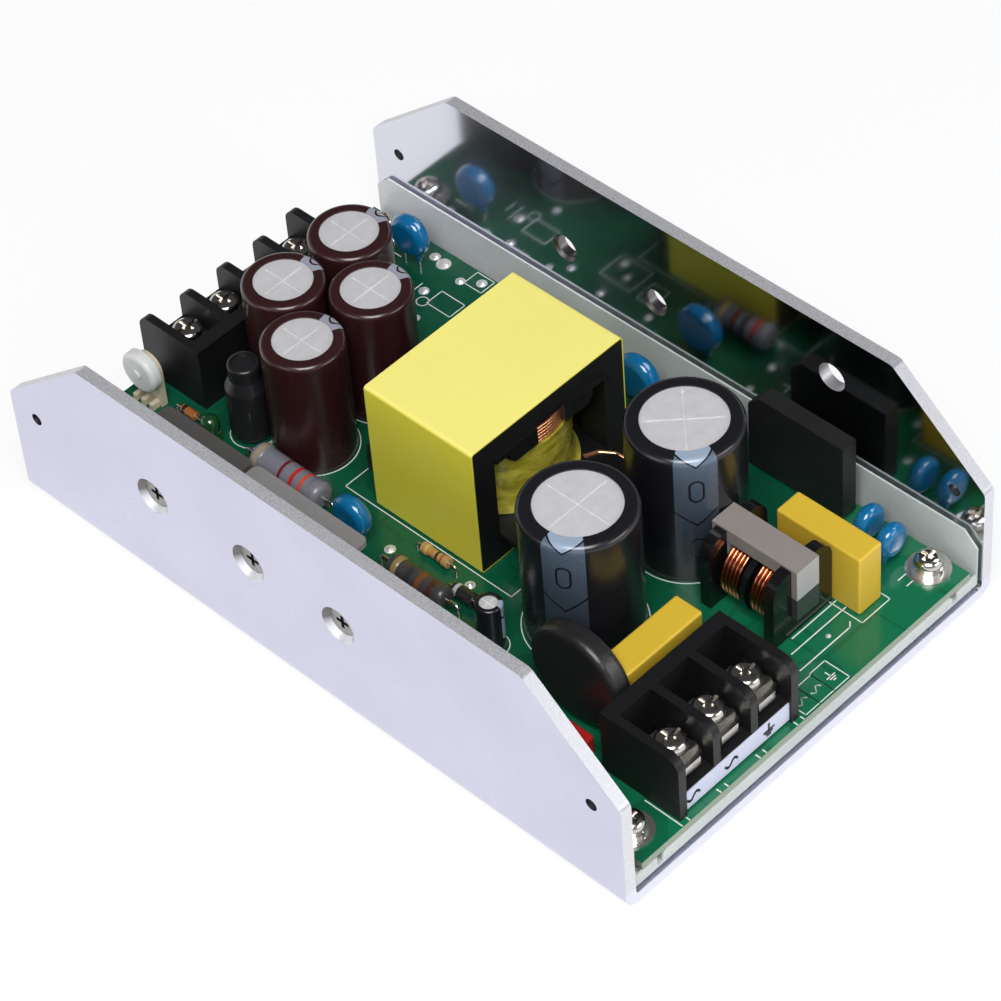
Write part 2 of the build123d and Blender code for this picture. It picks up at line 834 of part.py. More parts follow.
# Transformer: two ferrite halves round a moulded bobbin, bound with tape
def make_transformer():
    site = (transformer_x, transformer_y)
    with BuildPart() as core_lower:
        with BuildSketch(Plane.XY.offset(core_bottom)):
            with Locations(site):
                Rectangle(core_width, core_depth)
        extrude(amount=core_plate)
        with BuildSketch(Plane.XY.offset(core_bottom + core_plate)):
            with Locations(site):
                Rectangle(core_width, core_depth)
                Circle(winding_window_radius, mode=Mode.SUBTRACT)
                Rectangle(core_leg_gap, 2 * core_depth, mode=Mode.SUBTRACT)
                Circle(center_post_radius)
        extrude(amount=core_height / 2 - core_plate)
        outer_edges = core_lower.edges().filter_by(Axis.Y).filter_by(
            lambda e: abs(abs(e.center().X - transformer_x) - core_width / 2) < match_tolerance
        )
        fillet(outer_edges.group_by(Axis.Z)[0], core_corner_round)
    save(core_lower.part, "transformer_core_lower")
    with BuildPart() as core_upper:
        add(mirror(core_lower.part, about=Plane.XY.offset(core_middle), mode=Mode.PRIVATE))
    save(core_upper.part, "transformer_core_upper")

    # Tape once round the core
    with BuildPart() as core_tape:
        with BuildSketch(Plane.XZ.offset(-transformer_y)):
            with Locations((transformer_x, core_middle)):
                RectangleRounded(
                    core_width + 2 * core_tape_thickness,
                    core_height + 2 * core_tape_thickness,
                    core_corner_round + core_tape_thickness,
                )
                RectangleRounded(core_width, core_height, core_corner_round, mode=Mode.SUBTRACT)
        extrude(amount=core_depth / 2, both=True)
    save(core_tape.part, "transformer_core_tape")

    # Bobbin: tube, two flanges, ears under the top edge and two pin rails
    tube_inner = center_post_radius + bobbin_fit
    tube_outer = tube_inner + bobbin_wall
    lower_flange = core_bottom + core_plate + bobbin_fit
    upper_flange = core_top - core_plate - bobbin_fit - bobbin_flange_thickness
    flange_width = core_leg_gap - 2 * bobbin_fit
    flange_radius = winding_window_radius - bobbin_fit
    front_reach = core_depth / 2 + bobbin_overhang
    with BuildPart() as bobbin:
        with BuildSketch(Plane.XY.offset(lower_flange)):
            with Locations(site):
                Circle(flange_radius)
                Rectangle(2 * flange_radius, core_depth, mode=Mode.INTERSECT)
                Rectangle(flange_width, 2 * rail_outer_y)
        extrude(amount=bobbin_flange_thickness)
        with BuildSketch(Plane.XY.offset(upper_flange)):
            with Locations(site):
                Circle(flange_radius)
                Rectangle(2 * flange_radius, core_depth, mode=Mode.INTERSECT)
                Rectangle(flange_width, 2 * front_reach)
            with Locations(*[(site[0], site[1] + side * front_reach) for side in (-1, 1)]):
                Rectangle(wire_notch_width, 2 * ear_thickness, mode=Mode.SUBTRACT)
        extrude(amount=bobbin_flange_thickness)
        with BuildSketch(Plane.XY.offset(lower_flange)):
            with Locations(site):
                Circle(tube_outer)
        extrude(amount=upper_flange - lower_flange)
        ear_mid = front_reach - ear_thickness / 2
        ear_x = (wire_notch_width + ear_width) / 2
        for side in (-1, 1):
            ear_plane = Plane.XZ.offset(-(site[1] + side * ear_mid))
            with BuildSketch(ear_plane):
                for hand in (-1, 1):
                    inner = site[0] + hand * (ear_x - ear_width / 2)
                    outer = site[0] + hand * (ear_x + ear_width / 2)
                    with BuildLine():
                        Polyline(
                            (inner, upper_flange),
                            (outer, upper_flange),
                            (outer, upper_flange - ear_drop + ear_chamfer),
                            (outer - hand * ear_chamfer, upper_flange - ear_drop),
                            (inner, upper_flange - ear_drop),
                            close=True,
                        )
                    make_face()
            extrude(amount=ear_thickness / 2, both=True)
        rail_mid = (rail_inner_y + rail_outer_y) / 2
        with BuildSketch(Plane.XY.offset(board_top)):
            with Locations(*[(site[0], site[1] + side * rail_mid) for side in (-1, 1)]):
                Rectangle(rail_width, rail_outer_y - rail_inner_y)
        extrude(amount=lower_flange - board_top)
        with BuildSketch(Plane.XY.offset(core_bottom)):
            with Locations(site):
                Circle(tube_inner)
        extrude(amount=core_height, mode=Mode.SUBTRACT)
        with BuildSketch(Plane.XY.offset(board_top)):
            with Locations(site):
                with GridLocations(pin_pitch, 2 * rail_mid, pins_per_rail, 2):
                    Rectangle(pin_size + 2 * lead_fit, pin_size + 2 * lead_fit)
        extrude(amount=pin_depth, mode=Mode.SUBTRACT)
    save(bobbin.part, "transformer_bobbin")

    # Copper winding, its upper turns left bare above the yellow tape
    winding_bottom = lower_flange + bobbin_flange_thickness
    with BuildPart() as winding:
        with BuildSketch(Plane.XY.offset(winding_bottom)):
            with Locations(site):
                Circle(winding_radius)
                Circle(tube_outer, mode=Mode.SUBTRACT)
        extrude(amount=upper_flange - winding_bottom)
    save(winding.part, "transformer_winding")
    tape_top = upper_flange - winding_tape_drop
    tape_outer = winding_radius + winding_tape_thickness
    with BuildPart() as winding_tape:
        with BuildSketch(Plane.XZ.offset(-transformer_y)):
            with BuildLine():
                Polyline(
                    (transformer_x + winding_radius, winding_bottom),
                    (transformer_x + winding_radius, tape_top),
                    (transformer_x + tape_outer, tape_top),
                    (transformer_x + tape_outer, winding_bottom + winding_tape_flare_height),
                )
                Spline(
                    (transformer_x + tape_outer, winding_bottom + winding_tape_flare_height),
                    (transformer_x + tape_outer + winding_tape_flare, winding_bottom),
                    tangents=[(0, -1), (1, -1)],
                )
                Line(
                    (transformer_x + tape_outer + winding_tape_flare, winding_bottom),
                    (transformer_x + winding_radius, winding_bottom),
                )
            make_face()
        revolve(axis=Axis((transformer_x, transformer_y, 0), (0, 0, 1)))
    save(winding_tape.part, "transformer_winding_tape")

    with BuildPart() as pins:
        with BuildSketch(Plane.XY.offset(lead_end)):
            with Locations(site):
                with GridLocations(pin_pitch, 2 * rail_mid, pins_per_rail, 2):
                    Rectangle(pin_size, pin_size)
        extrude(amount=board_top + pin_depth - lead_end)
    save(pins.part, "transformer_pins")
    for side in (-1, 1):
        for index in range(pins_per_rail):
            pin_x = site[0] + (index - (pins_per_rail - 1) / 2) * pin_pitch
            board_slots.append((pin_x, site[1] + side * rail_mid, pin_size, pin_size))


# Common-mode choke: a closed ferrite frame, its low bar wound with two copper coils
def make_choke():
    axis_z = board_top + choke_axis_height
    top_z = board_top + choke_core_top
    bar_bottom = axis_z - choke_low_bar / 2
    back_y = choke_front_y + choke_core_length
    window_bottom = axis_z + choke_low_bar / 2
    window_top = top_z - choke_top_bar
    core_mid_y = (choke_front_y + back_y) / 2
    with BuildPart() as core:
        with BuildSketch(Plane.YZ.offset(choke_x)):
            with Locations((core_mid_y, (bar_bottom + top_z) / 2)):
                Rectangle(choke_core_length, top_z - bar_bottom)
            with Locations((core_mid_y, (window_bottom + window_top) / 2)):
                Rectangle(choke_core_length - 2 * choke_leg, window_top - window_bottom, mode=Mode.SUBTRACT)
        extrude(amount=choke_core_width / 2, both=True)
    save(core.part, "choke_core")

    # Bobbin: a tube on the low bar, a flange with two rounded ears at each end, a divider
    flange_front = choke_front_y + choke_flange_setback
    flange_back = back_y - choke_flange_setback
    tube_width = choke_core_width + 2 * (choke_fit + choke_tube_wall)
    tube_height = choke_low_bar + 2 * (choke_fit + choke_tube_wall)
    core_slot = choke_core_width + 2 * choke_fit
    window_front = choke_front_y + choke_leg
    window_back = back_y - choke_leg
    with BuildPart() as bobbin:
        for start in (flange_front, flange_back - choke_flange_thickness):
            with BuildSketch(Plane.XZ.offset(-start)) as flange:
                with Locations((choke_x, board_top + choke_flange_height / 2)):
                    Rectangle(choke_flange_width, choke_flange_height)
                fillet(flange.vertices().group_by(Axis.Y)[-1], choke_ear_round)
                with Locations((choke_x, bar_bottom - choke_fit + top_z)):
                    Rectangle(core_slot, 2 * top_z, mode=Mode.SUBTRACT)
            extrude(amount=-choke_flange_thickness)
        # Cheeks join the end flanges to the tube, beside the core's legs
        with BuildSketch(Plane.XZ.offset(-flange_front)):
            with Locations((choke_x, axis_z)):
                Rectangle(tube_width, tube_height)
        extrude(amount=-(flange_back - flange_front))
        with BuildSketch(Plane.XZ.offset(-(core_mid_y - choke_divider_thickness / 2))):
            with Locations((choke_x, axis_z)):
                Circle(choke_divider_radius)
        extrude(amount=-choke_divider_thickness)
        with BuildSketch(Plane.XZ.offset(-choke_front_y)):
            with Locations((choke_x, axis_z)):
                Rectangle(core_slot, choke_low_bar + 2 * choke_fit)
        extrude(amount=-choke_core_length, mode=Mode.SUBTRACT)
        # Room for the core's legs above the low bar
        with BuildSketch(Plane.XY.offset(bar_bottom)):
            with Locations(
                (choke_x, choke_front_y + (choke_leg + choke_fit) / 2),
                (choke_x, back_y - (choke_leg + choke_fit) / 2),
            ):
                Rectangle(core_slot, choke_leg + choke_fit)
        extrude(amount=choke_core_top, mode=Mode.SUBTRACT)
        pin_sites = []
        for y in (flange_front + choke_flange_thickness / 2, flange_back - choke_flange_thickness / 2):
            for side in (-1, 1):
                pin_sites.append((choke_x + side * (choke_flange_width / 2 - choke_pin_inset), y))
        with BuildSketch(Plane.XY.offset(board_top)):
            with Locations(*pin_sites):
                Circle(choke_pin_radius + thread_fit)
        extrude(amount=choke_pin_depth, mode=Mode.SUBTRACT)
    save(bobbin.part, "choke_bobbin")

    with BuildPart() as windings:
        for start, end in (
            (window_front + choke_fit, core_mid_y - choke_divider_thickness / 2),
            (core_mid_y + choke_divider_thickness / 2, window_back - choke_fit),
        ):
            with BuildSketch(Plane.XZ.offset(-start)):
                with Locations((choke_x, axis_z)):
                    Circle(choke_winding_radius)
                    Rectangle(tube_width, tube_height, mode=Mode.SUBTRACT)
            extrude(amount=-(end - start))
    save(windings.part, "choke_windings")

    with BuildPart() as pins:
        with BuildSketch(Plane.XY.offset(lead_end)):
            with Locations(*pin_sites):
                Circle(choke_pin_radius)
        extrude(amount=board_top + choke_pin_depth - lead_end)
    save(pins.part, "choke_pins")
    for x, y in pin_sites:
        board_holes.append((x, y, choke_pin_radius + lead_fit))


# Film capacitors: moulded boxes on two low feet
def make_filter_capacitors():
    for number, (x, y, size_x, size_y, height) in enumerate(filter_capacitors, 1):
        along_x = size_x > size_y
        box_bottom = board_top + filter_foot_height
        with BuildPart() as box:
            with BuildSketch(Plane.XY.offset(box_bottom)):
                with Locations((x, y)):
                    Rectangle(size_x, size_y)
            extrude(amount=height - filter_foot_height)
            fillet(box.edges().filter_by(Axis.Z), filter_edge_round)
            fillet(box.edges().group_by(Axis.Z)[-1], filter_edge_round)
            with BuildSketch(Plane.XY.offset(board_top)):
                for side in (-1, 1):
                    reach = side * (max(size_x, size_y) / 2 - filter_edge_round - filter_foot_width / 2)
                    foot_x = x + (reach if along_x else 0)
                    foot_y = y + (0 if along_x else reach)
                    with Locations((foot_x, foot_y)):
                        if along_x:
                            Rectangle(filter_foot_width, size_y - 2 * filter_edge_round)
                        else:
                            Rectangle(size_x - 2 * filter_edge_round, filter_foot_width)
            extrude(amount=filter_foot_height)
        save(box.part, f"filter_capacitor_{number}")
        for side in (-1, 1):
            reach = side * filter_lead_pitch / 2
            add_lead(
                x + (reach if along_x else 0), y + (0 if along_x else reach), filter_lead_radius, box_bottom
            )


# Bridge rectifier: a flat moulded block on four leads
def make_bridge_rectifier():
    bottom = board_top + bridge_base_height
    with BuildPart() as bridge:
        with BuildSketch(Plane.YZ.offset(bridge_x)) as face:
            with Locations((bridge_y, bottom + bridge_height / 2)):
                Rectangle(bridge_length, bridge_height)
            chamfer(face.vertices().group_by(Axis.Y)[-1].sort_by(Axis.X)[-1], bridge_corner_cut)
        extrude(amount=bridge_thickness / 2, both=True)
    save(bridge.part, "bridge_rectifier")
    for index in range(4):
        add_lead(bridge_x, bridge_y + (index - 1.5) * bridge_lead_pitch, bridge_lead_radius, bottom)


def disc_body(x, y, z, radius, thickness, rim_flat, along):
    """Dipped disc with a rounded rim, standing on edge."""
    plane = Plane.YZ.offset(x) if along == "X" else Plane.XZ.offset(-y)
    middle = (y, z) if along == "X" else (x, z)
    with BuildPart() as disc:
        with BuildSketch(plane):
            with Locations(middle):
                Circle(radius)
        extrude(amount=thickness / 2, both=True)
        fillet(disc.edges().filter_by(GeomType.CIRCLE), (thickness - rim_flat) / 2)
    return disc.part


# Disc capacitors and the inrush thermistor, each on two leads
def make_discs():
    with BuildPart() as ceramics:
        for x, y, rise, radius, thickness, along in ceramic_discs:
            z = board_top + rise
            add(disc_body(x, y, z, radius, thickness, ceramic_rim_flat, along))
            for side in (-1, 1):
                offset_x = 0 if along == "X" else side * ceramic_lead_offset
                offset_y = side * ceramic_lead_offset if along == "X" else 0
                edge = z - (radius**2 - ceramic_lead_offset**2) ** 0.5
                lead_top = edge + ceramic_lead_depth
                with Locations((x + offset_x, y + offset_y, edge - ceramic_skirt_length)):
                    Cone(
                        ceramic_skirt_foot,
                        ceramic_skirt_radius,
                        ceramic_skirt_length + ceramic_lead_depth,
                        align=(Align.CENTER, Align.CENTER, Align.MIN),
                    )
                with BuildSketch(Plane.XY.offset(lead_top)):
                    with Locations((x + offset_x, y + offset_y)):
                        Circle(ceramic_lead_radius + thread_fit)
                extrude(amount=-radius, mode=Mode.SUBTRACT)
                add_lead(x + offset_x, y + offset_y, ceramic_lead_radius, lead_top)
    save(ceramics.part, "ceramic_capacitors")

    z = board_top + thermistor_base_height + thermistor_radius
    with BuildPart() as thermistor:
        add(
            disc_body(
                thermistor_x,
                thermistor_y,
                z,
                thermistor_radius,
                thermistor_thickness,
                thermistor_rim_flat,
                "X",
            )
        )
        edge = z - (thermistor_radius**2 - (thermistor_lead_pitch / 2) ** 2) ** 0.5
        lead_top = edge + ceramic_lead_depth
        with BuildSketch(Plane.XY.offset(lead_top)):
            with Locations((thermistor_x, thermistor_y)):
                with GridLocations(1, thermistor_lead_pitch, 1, 2):
                    Circle(thermistor_lead_radius + thread_fit)
        extrude(amount=-thermistor_radius, mode=Mode.SUBTRACT)
    save(thermistor.part, "thermistor")
    for side in (-1, 1):
        lead_y = thermistor_y + side * thermistor_lead_pitch / 2
        add_lead(thermistor_x, lead_y, thermistor_lead_radius, lead_top)


# Fuse: a moulded block
def make_fuse():
    with BuildPart() as fuse:
        with BuildSketch(Plane.XY.offset(board_top)):
            with Locations((fuse_x, fuse_y)):
                Rectangle(fuse_width, fuse_length)
        extrude(amount=fuse_height)
        fillet(fuse.edges().filter_by(Axis.Z), fuse_edge_round)
        fillet(fuse.edges().group_by(Axis.Z)[-1], fuse_edge_round)
    save(fuse.part, "fuse")
    for side in (-1, 1):
        add_lead(fuse_x, fuse_y + side * fuse_lead_pitch / 2, fuse_lead_radius, board_top)


def axial_body(x, y, z, radius, length, end_round):
    """Round body lying along Y with rounded ends."""
    with BuildPart() as body:
        with BuildSketch(Plane.XZ.offset(-y)):
            with Locations((x, z)):
                Circle(radius)
        extrude(amount=length / 2, both=True)
        fillet(body.edges().filter_by(GeomType.CIRCLE), end_round)
    return body.part


def bent_leads(x, y, z, length, radius, reach):
    """Two leads from the ends of an axial part, bent down through the board."""
    for side in (-1, 1):
        start = y + side * length / 2
        drop = start + side * reach
        with BuildLine() as path:
            FilletPolyline((x, start, z), (x, drop, z), (x, drop, lead_end), radius=lead_bend_radius)
        with BuildSketch(Plane(origin=(x, start, z), z_dir=(0, side, 0))) as wire:
            Circle(radius)
        bent_lead_parts.append(sweep(wire.sketch, path=path.line))
        board_holes.append((x, drop, radius + lead_fit))


# Resistors and diodes that lie along the board
def make_axial_parts():
    for number, (x, y, rise, radius, length) in enumerate(power_resistors, 1):
        z = board_top + rise
        waist_radius = radius - resistor_waist
        with BuildPart() as resistor:
            add(axial_body(x, y, z, waist_radius, length - resistor_cap_length, resistor_waist_round))
            for side in (-1, 1):
                cap_y = y + side * (length - resistor_cap_length) / 2
                add(axial_body(x, cap_y, z, radius, resistor_cap_length, resistor_end_round))
        save(resistor.part, f"power_resistor_{number}")
        bent_leads(x, y, z, length, resistor_lead_radius, resistor_lead_reach)

    x, y, rise, radius, length = small_resistor
    z = board_top + rise
    with BuildPart() as resistor:
        add(axial_body(x, y, z, radius - small_resistor_waist, length, small_resistor_waist))
        for side in (-1, 1):
            cap_y = y + side * (length - small_resistor_cap) / 2
            add(axial_body(x, cap_y, z, radius, small_resistor_cap, small_resistor_waist))
    save(resistor.part, "small_resistor")
    bent_leads(x, y, z, length, small_lead_radius, small_lead_reach)

    with BuildPart() as diodes:
        for x, y, rise, radius, length in axial_diodes:
            z = board_top + rise
            add(axial_body(x, y, z, radius, length, small_resistor_waist))
    save(diodes.part, "diodes")
    for x, y, rise, radius, length in axial_diodes:
        bent_leads(x, y, board_top + rise, length, small_lead_radius, small_lead_reach)


# Rod choke: a wound rod in a black sleeve, its end showing as a shallow recess
def make_rod_choke():
    shoulder_bottom = board_top + rod_choke_shoulder_height
    shoulder_top = shoulder_bottom + rod_choke_shoulder_length
    with BuildPart() as rod:
        with BuildSketch(Plane.XZ.offset(-rod_choke_y)) as profile:
            with BuildLine():
                Polyline(
                    (rod_choke_x, board_top),
                    (rod_choke_x + rod_choke_radius, board_top),
                    (rod_choke_x + rod_choke_body_radius, board_top + rod_choke_foot_height),
                    (rod_choke_x + rod_choke_body_radius, shoulder_bottom),
                    (rod_choke_x + rod_choke_radius, shoulder_top),
                    (rod_choke_x + rod_choke_radius, board_top + rod_choke_height),
                    (rod_choke_x, board_top + rod_choke_height),
                    close=True,
                )
            make_face()
            turned_corners = profile.vertices().filter_by(
                lambda v: v.X > rod_choke_x + match_tolerance and v.Y > board_top + match_tolerance
            )
            fillet(turned_corners, rod_choke_round)
        revolve(axis=Axis((rod_choke_x, rod_choke_y, 0), (0, 0, 1)))
        with BuildSketch(Plane.XY.offset(board_top + rod_choke_height)):
            with Locations((rod_choke_x, rod_choke_y)):
                Circle(rod_choke_recess_radius)
        extrude(amount=-rod_choke_recess_depth, mode=Mode.SUBTRACT)
    save(rod.part, "rod_choke")
    for side in (-1, 1):
        add_lead(rod_choke_x + side * rod_choke_lead_pitch / 2, rod_choke_y, small_lead_radius, board_top)


# Indicator lamp: a moulded body with a flange and a domed end
def make_indicator_lamp():
    with BuildPart() as lamp:
        with Locations((lamp_x, lamp_y, board_top)):
            Cylinder(lamp_flange_radius, lamp_flange_height, align=(Align.CENTER, Align.CENTER, Align.MIN))
            Cylinder(lamp_radius, lamp_height - lamp_radius, align=(Align.CENTER, Align.CENTER, Align.MIN))
        with Locations((lamp_x, lamp_y, board_top + lamp_height - lamp_radius)):
            Sphere(lamp_radius)
    save(lamp.part, "indicator_lamp")
    for side in (-1, 1):
        add_lead(lamp_x, lamp_y + side * lamp_lead_pitch / 2, lamp_lead_radius, board_top)


# Output trimmer: a round wheel that faces the left wall, on an upright base
def make_trimmer():
    axis_z = board_top + trimmer_axis_height
    wheel_back = trimmer_wheel_face_x + trimmer_wheel_thickness
    with BuildPart() as wheel:
        with BuildSketch(Plane.YZ.offset(trimmer_wheel_face_x)):
            with Locations((trimmer_y, axis_z)):
                Circle(trimmer_wheel_radius)
        extrude(amount=trimmer_wheel_thickness)
        fillet(wheel.edges().filter_by(GeomType.CIRCLE).group_by(Axis.X)[0], trimmer_wheel_round)
        with BuildSketch(Plane.YZ.offset(trimmer_wheel_face_x)):
            with Locations((trimmer_y, axis_z)):
                Circle(trimmer_boss_radius)
        extrude(amount=-trimmer_boss_height)
    save(wheel.part, "trimmer_wheel")

    with BuildPart() as base:
        with BuildSketch(Plane.XY.offset(board_top)):
            with Locations((wheel_back + trimmer_plate_thickness / 2, trimmer_y)):
                Rectangle(trimmer_plate_thickness, trimmer_plate_width)
        extrude(amount=trimmer_axis_height)
        with BuildSketch(Plane.YZ.offset(wheel_back)):
            with Locations((trimmer_y, axis_z)):
                Circle(trimmer_plate_width / 2)
        extrude(amount=trimmer_plate_thickness)
        with BuildSketch(Plane.XY.offset(board_top)):
            with Locations((wheel_back - trimmer_foot_reach / 2, trimmer_y)):
                with GridLocations(1, trimmer_tooth_pitch, 1, 3):
                    Rectangle(trimmer_foot_reach, trimmer_tooth_width)
        extrude(amount=trimmer_foot_height)
    save(base.part, "trimmer_base")
    for index in range(3):
        add_lead(
            wheel_back + trimmer_plate_thickness / 2,
            trimmer_y + (index - 1) * trimmer_tooth_pitch,
            trimmer_pin_radius,
            board_top,
        )


# Heat-spreading angles: short legs on the wall, wide flanges over the transistors
def make_heat_angles():
    leg_x = -wall_inner_x
    for number, (start, end) in enumerate(angle_spans, 1):
        with BuildPart() as angle:
            with BuildSketch(Plane.XZ.offset(-start)) as section:
                with BuildLine():
                    Polyline(
                        (leg_x, angle_top_z),
                        (leg_x + angle_reach, angle_top_z),
                        (leg_x + angle_reach, angle_top_z - angle_thickness),
                        (leg_x + angle_thickness, angle_top_z - angle_thickness),
                        (leg_x + angle_thickness, angle_top_z - angle_leg_length),
                        (leg_x, angle_top_z - angle_leg_length),
                        close=True,
                    )
                make_face()
                fillet(section.vertices().group_by(Axis.X)[0].sort_by(Axis.Y)[-1], angle_bend_radius)
            extrude(amount=-(end - start))
            free_corners = angle.edges().filter_by(Axis.Z).group_by(Axis.X)[-1]
            fillet(free_corners, angle_corner_round)
            for y in device_screw_ys:
                if start < y < end:
                    with BuildSketch(Plane.YZ.offset(leg_x)):
                        with Locations((y, device_screw_z)):
                            Circle(device_screw_radius + screw_clearance)
                    extrude(amount=angle_thickness, mode=Mode.SUBTRACT)
        save(angle.part, f"heat_angle_{number}")


# Power transistors, their pads, screws and nuts
def make_power_transistors():
    seat_x = -wall_inner_x + angle_thickness + pad_thickness
    hole_radius = device_screw_radius + screw_clearance
    tab_top = device_screw_z + transistor_tab_top
    body_top = tab_top - transistor_tab_height
    body_bottom = body_top - transistor_body_height
    nut_x = seat_x + transistor_tab_thickness
    with BuildPart() as transistors:
        for y in device_screw_ys:
            with BuildSketch(Plane.YZ.offset(seat_x)):
                with Locations((y, (tab_top + body_bottom) / 2)):
                    Rectangle(transistor_width, tab_top - body_bottom)
                with Locations((y, device_screw_z)):
                    Circle(hole_radius, mode=Mode.SUBTRACT)
            extrude(amount=transistor_tab_thickness)
            with BuildSketch(Plane.YZ.offset(seat_x)):
                with Locations((y, (body_top + body_bottom) / 2)):
                    Rectangle(transistor_width, transistor_body_height)
            extrude(amount=transistor_body_thickness)
            for index in (-1, 0, 1):
                add_lead(
                    seat_x + transistor_lead_offset,
                    y + index * transistor_lead_pitch,
                    transistor_lead_radius,
                    body_bottom,
                )
    save(transistors.part, "power_transistors")

    # A thin pad lies on each angle, a thick one straight on the wall
    with BuildPart() as pads:
        for y in device_screw_ys:
            on_angle = any(start < y < end for start, end in angle_spans)
            thickness = pad_thickness if on_angle else pad_thickness + angle_thickness
            pad_bottom = angle_top_z - angle_leg_length if on_angle else body_bottom
            with BuildSketch(Plane.YZ.offset(seat_x - thickness)):
                with Locations((y, (tab_top + pad_bottom) / 2)):
                    Rectangle(pad_width, tab_top - pad_bottom)
                with Locations((y, device_screw_z)):
                    Circle(hole_radius, mode=Mode.SUBTRACT)
            extrude(amount=thickness)
    save(pads.part, "thermal_pads")

    # Countersunk screws: the heads lie below the outer face of the wall
    head_sink = countersink_radius - device_head_radius + screw_clearance
    screw_length = nut_x + nut_thickness + bracket_width / 2 - head_sink + device_screw_projection
    with BuildPart() as screw:
        Cone(
            device_screw_radius,
            device_head_radius,
            device_head_depth,
            align=(Align.CENTER, Align.CENTER, Align.MAX),
        )
        Cylinder(device_screw_radius, screw_length, align=(Align.CENTER, Align.CENTER, Align.MAX))
        with BuildSketch(Plane.XY):
            Rectangle(drive_slot_length, drive_slot_width)
            Rectangle(drive_slot_width, drive_slot_length)
        extrude(amount=-drive_slot_depth, mode=Mode.SUBTRACT)
    with BuildPart() as screws:
        for y in device_screw_ys:
            with Locations(
                Plane(origin=(-bracket_width / 2 + head_sink, y, device_screw_z), z_dir=(-1, 0, 0))
            ):
                add(screw.part)
    save(screws.part, "wall_screws")
    with BuildPart() as nuts:
        with BuildSketch(Plane.YZ.offset(nut_x)):
            with Locations(*[(y, device_screw_z) for y in device_screw_ys]):
                RegularPolygon(nut_flats / 2, 6, major_radius=False)
                Circle(device_screw_radius + thread_fit, mode=Mode.SUBTRACT)
        extrude(amount=nut_thickness)
    save(nuts.part, "wall_nuts")


# Leads of every component that has wire ends
def make_component_leads():
    with BuildPart() as leads:
        for x, y, radius, top in straight_leads:
            with BuildSketch(Plane.XY.offset(lead_end)):
                with Locations((x, y)):
                    Circle(radius)
            extrude(amount=top - lead_end)
        for bent in bent_lead_parts:
            add(bent)
    save(leads.part, "component_leads")


# Circuit board, with the holes for everything that passes through it
def make_circuit_board():
    with BuildPart() as board:
        with BuildSketch(Plane.XY.offset(board_bottom)):
            Rectangle(board_width, board_length)
            with GridLocations(2 * board_screw_x, 2 * board_screw_y, 2, 2):
                Circle(board_screw_radius + screw_clearance, mode=Mode.SUBTRACT)
            for x, y, radius in board_holes:
                with Locations((x, y)):
                    Circle(radius, mode=Mode.SUBTRACT)
            for x, y, size_x, size_y in board_slots:
                with Locations((x, y)):
                    Rectangle(size_x + 2 * lead_fit, size_y + 2 * lead_fit, mode=Mode.SUBTRACT)
        extrude(amount=board_thickness)
    save(board.part, "circuit_board")


make_bracket()
make_insulating_sheet()
make_standoffs()
make_board_fixings()
make_terminals()
make_capacitors()
make_transformer()
make_choke()
make_filter_capacitors()
make_bridge_rectifier()
make_discs()
make_fuse()
make_axial_parts()
make_rod_choke()
make_indicator_lamp()
make_trimmer()
make_heat_angles()
make_power_transistors()
make_component_leads()
make_circuit_board()
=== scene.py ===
import math
import bmesh
import bpy
from mathutils import Matrix, Vector


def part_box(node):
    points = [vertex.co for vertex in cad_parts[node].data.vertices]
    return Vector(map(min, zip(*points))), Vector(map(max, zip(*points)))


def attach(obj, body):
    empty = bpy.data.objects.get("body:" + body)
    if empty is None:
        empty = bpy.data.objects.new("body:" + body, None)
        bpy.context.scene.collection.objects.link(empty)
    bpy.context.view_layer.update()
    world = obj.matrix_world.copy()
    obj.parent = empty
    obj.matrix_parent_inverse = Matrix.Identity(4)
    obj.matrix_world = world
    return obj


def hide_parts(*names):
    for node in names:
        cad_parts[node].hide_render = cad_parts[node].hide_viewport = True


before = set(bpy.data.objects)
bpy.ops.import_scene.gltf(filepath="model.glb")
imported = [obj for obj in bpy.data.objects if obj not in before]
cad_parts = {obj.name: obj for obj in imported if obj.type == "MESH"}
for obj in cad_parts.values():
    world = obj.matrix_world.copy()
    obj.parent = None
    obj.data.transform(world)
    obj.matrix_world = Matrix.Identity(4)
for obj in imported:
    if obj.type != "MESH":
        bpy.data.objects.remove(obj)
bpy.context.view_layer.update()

scene = bpy.context.scene

# Camera: a long lens that looks down from the left front into the open channel, as in the
# photograph. Its own directions are given as unit vectors.
camera_place = (-0.3398, -0.3698, 0.5372)
camera_right = Vector((0.68969, -0.72160, -0.06036))
camera_up = Vector((0.55314, 0.47120, 0.68705))
camera_back = Vector((-0.46733, -0.50723, 0.72411))
camera_data = bpy.data.cameras.new("camera")
camera_data.sensor_width = 36.0
camera_data.lens = 145.12
camera_data.clip_start = 0.05
camera_data.clip_end = 20.0
camera = bpy.data.objects.new("camera", camera_data)
camera_turn = Matrix((camera_right, camera_up, camera_back)).transposed().to_4x4()
camera.matrix_world = Matrix.Translation(camera_place) @ camera_turn
scene.collection.objects.link(camera)
scene.camera = camera
scene.view_settings.view_transform = "Standard"


# Studio: a pale sweep of paper under the object, one broad lamp high on the left and two weaker
# ones. The paper shows white to the camera and in metal, and keeps a soft shadow. The room is
# bright at the height of the object and dark above it.
paper_colour = (0.86, 0.86, 0.87, 1)
paper_white_share = 0.85
paper_half_width = 2.5
room_tint = (0.92, 0.94, 1.0, 1)
room_level_below, room_level_above = 0.85, 0.07
room_dark_from = 0.55
lamp_aim = Vector((0, 0, 0.02))


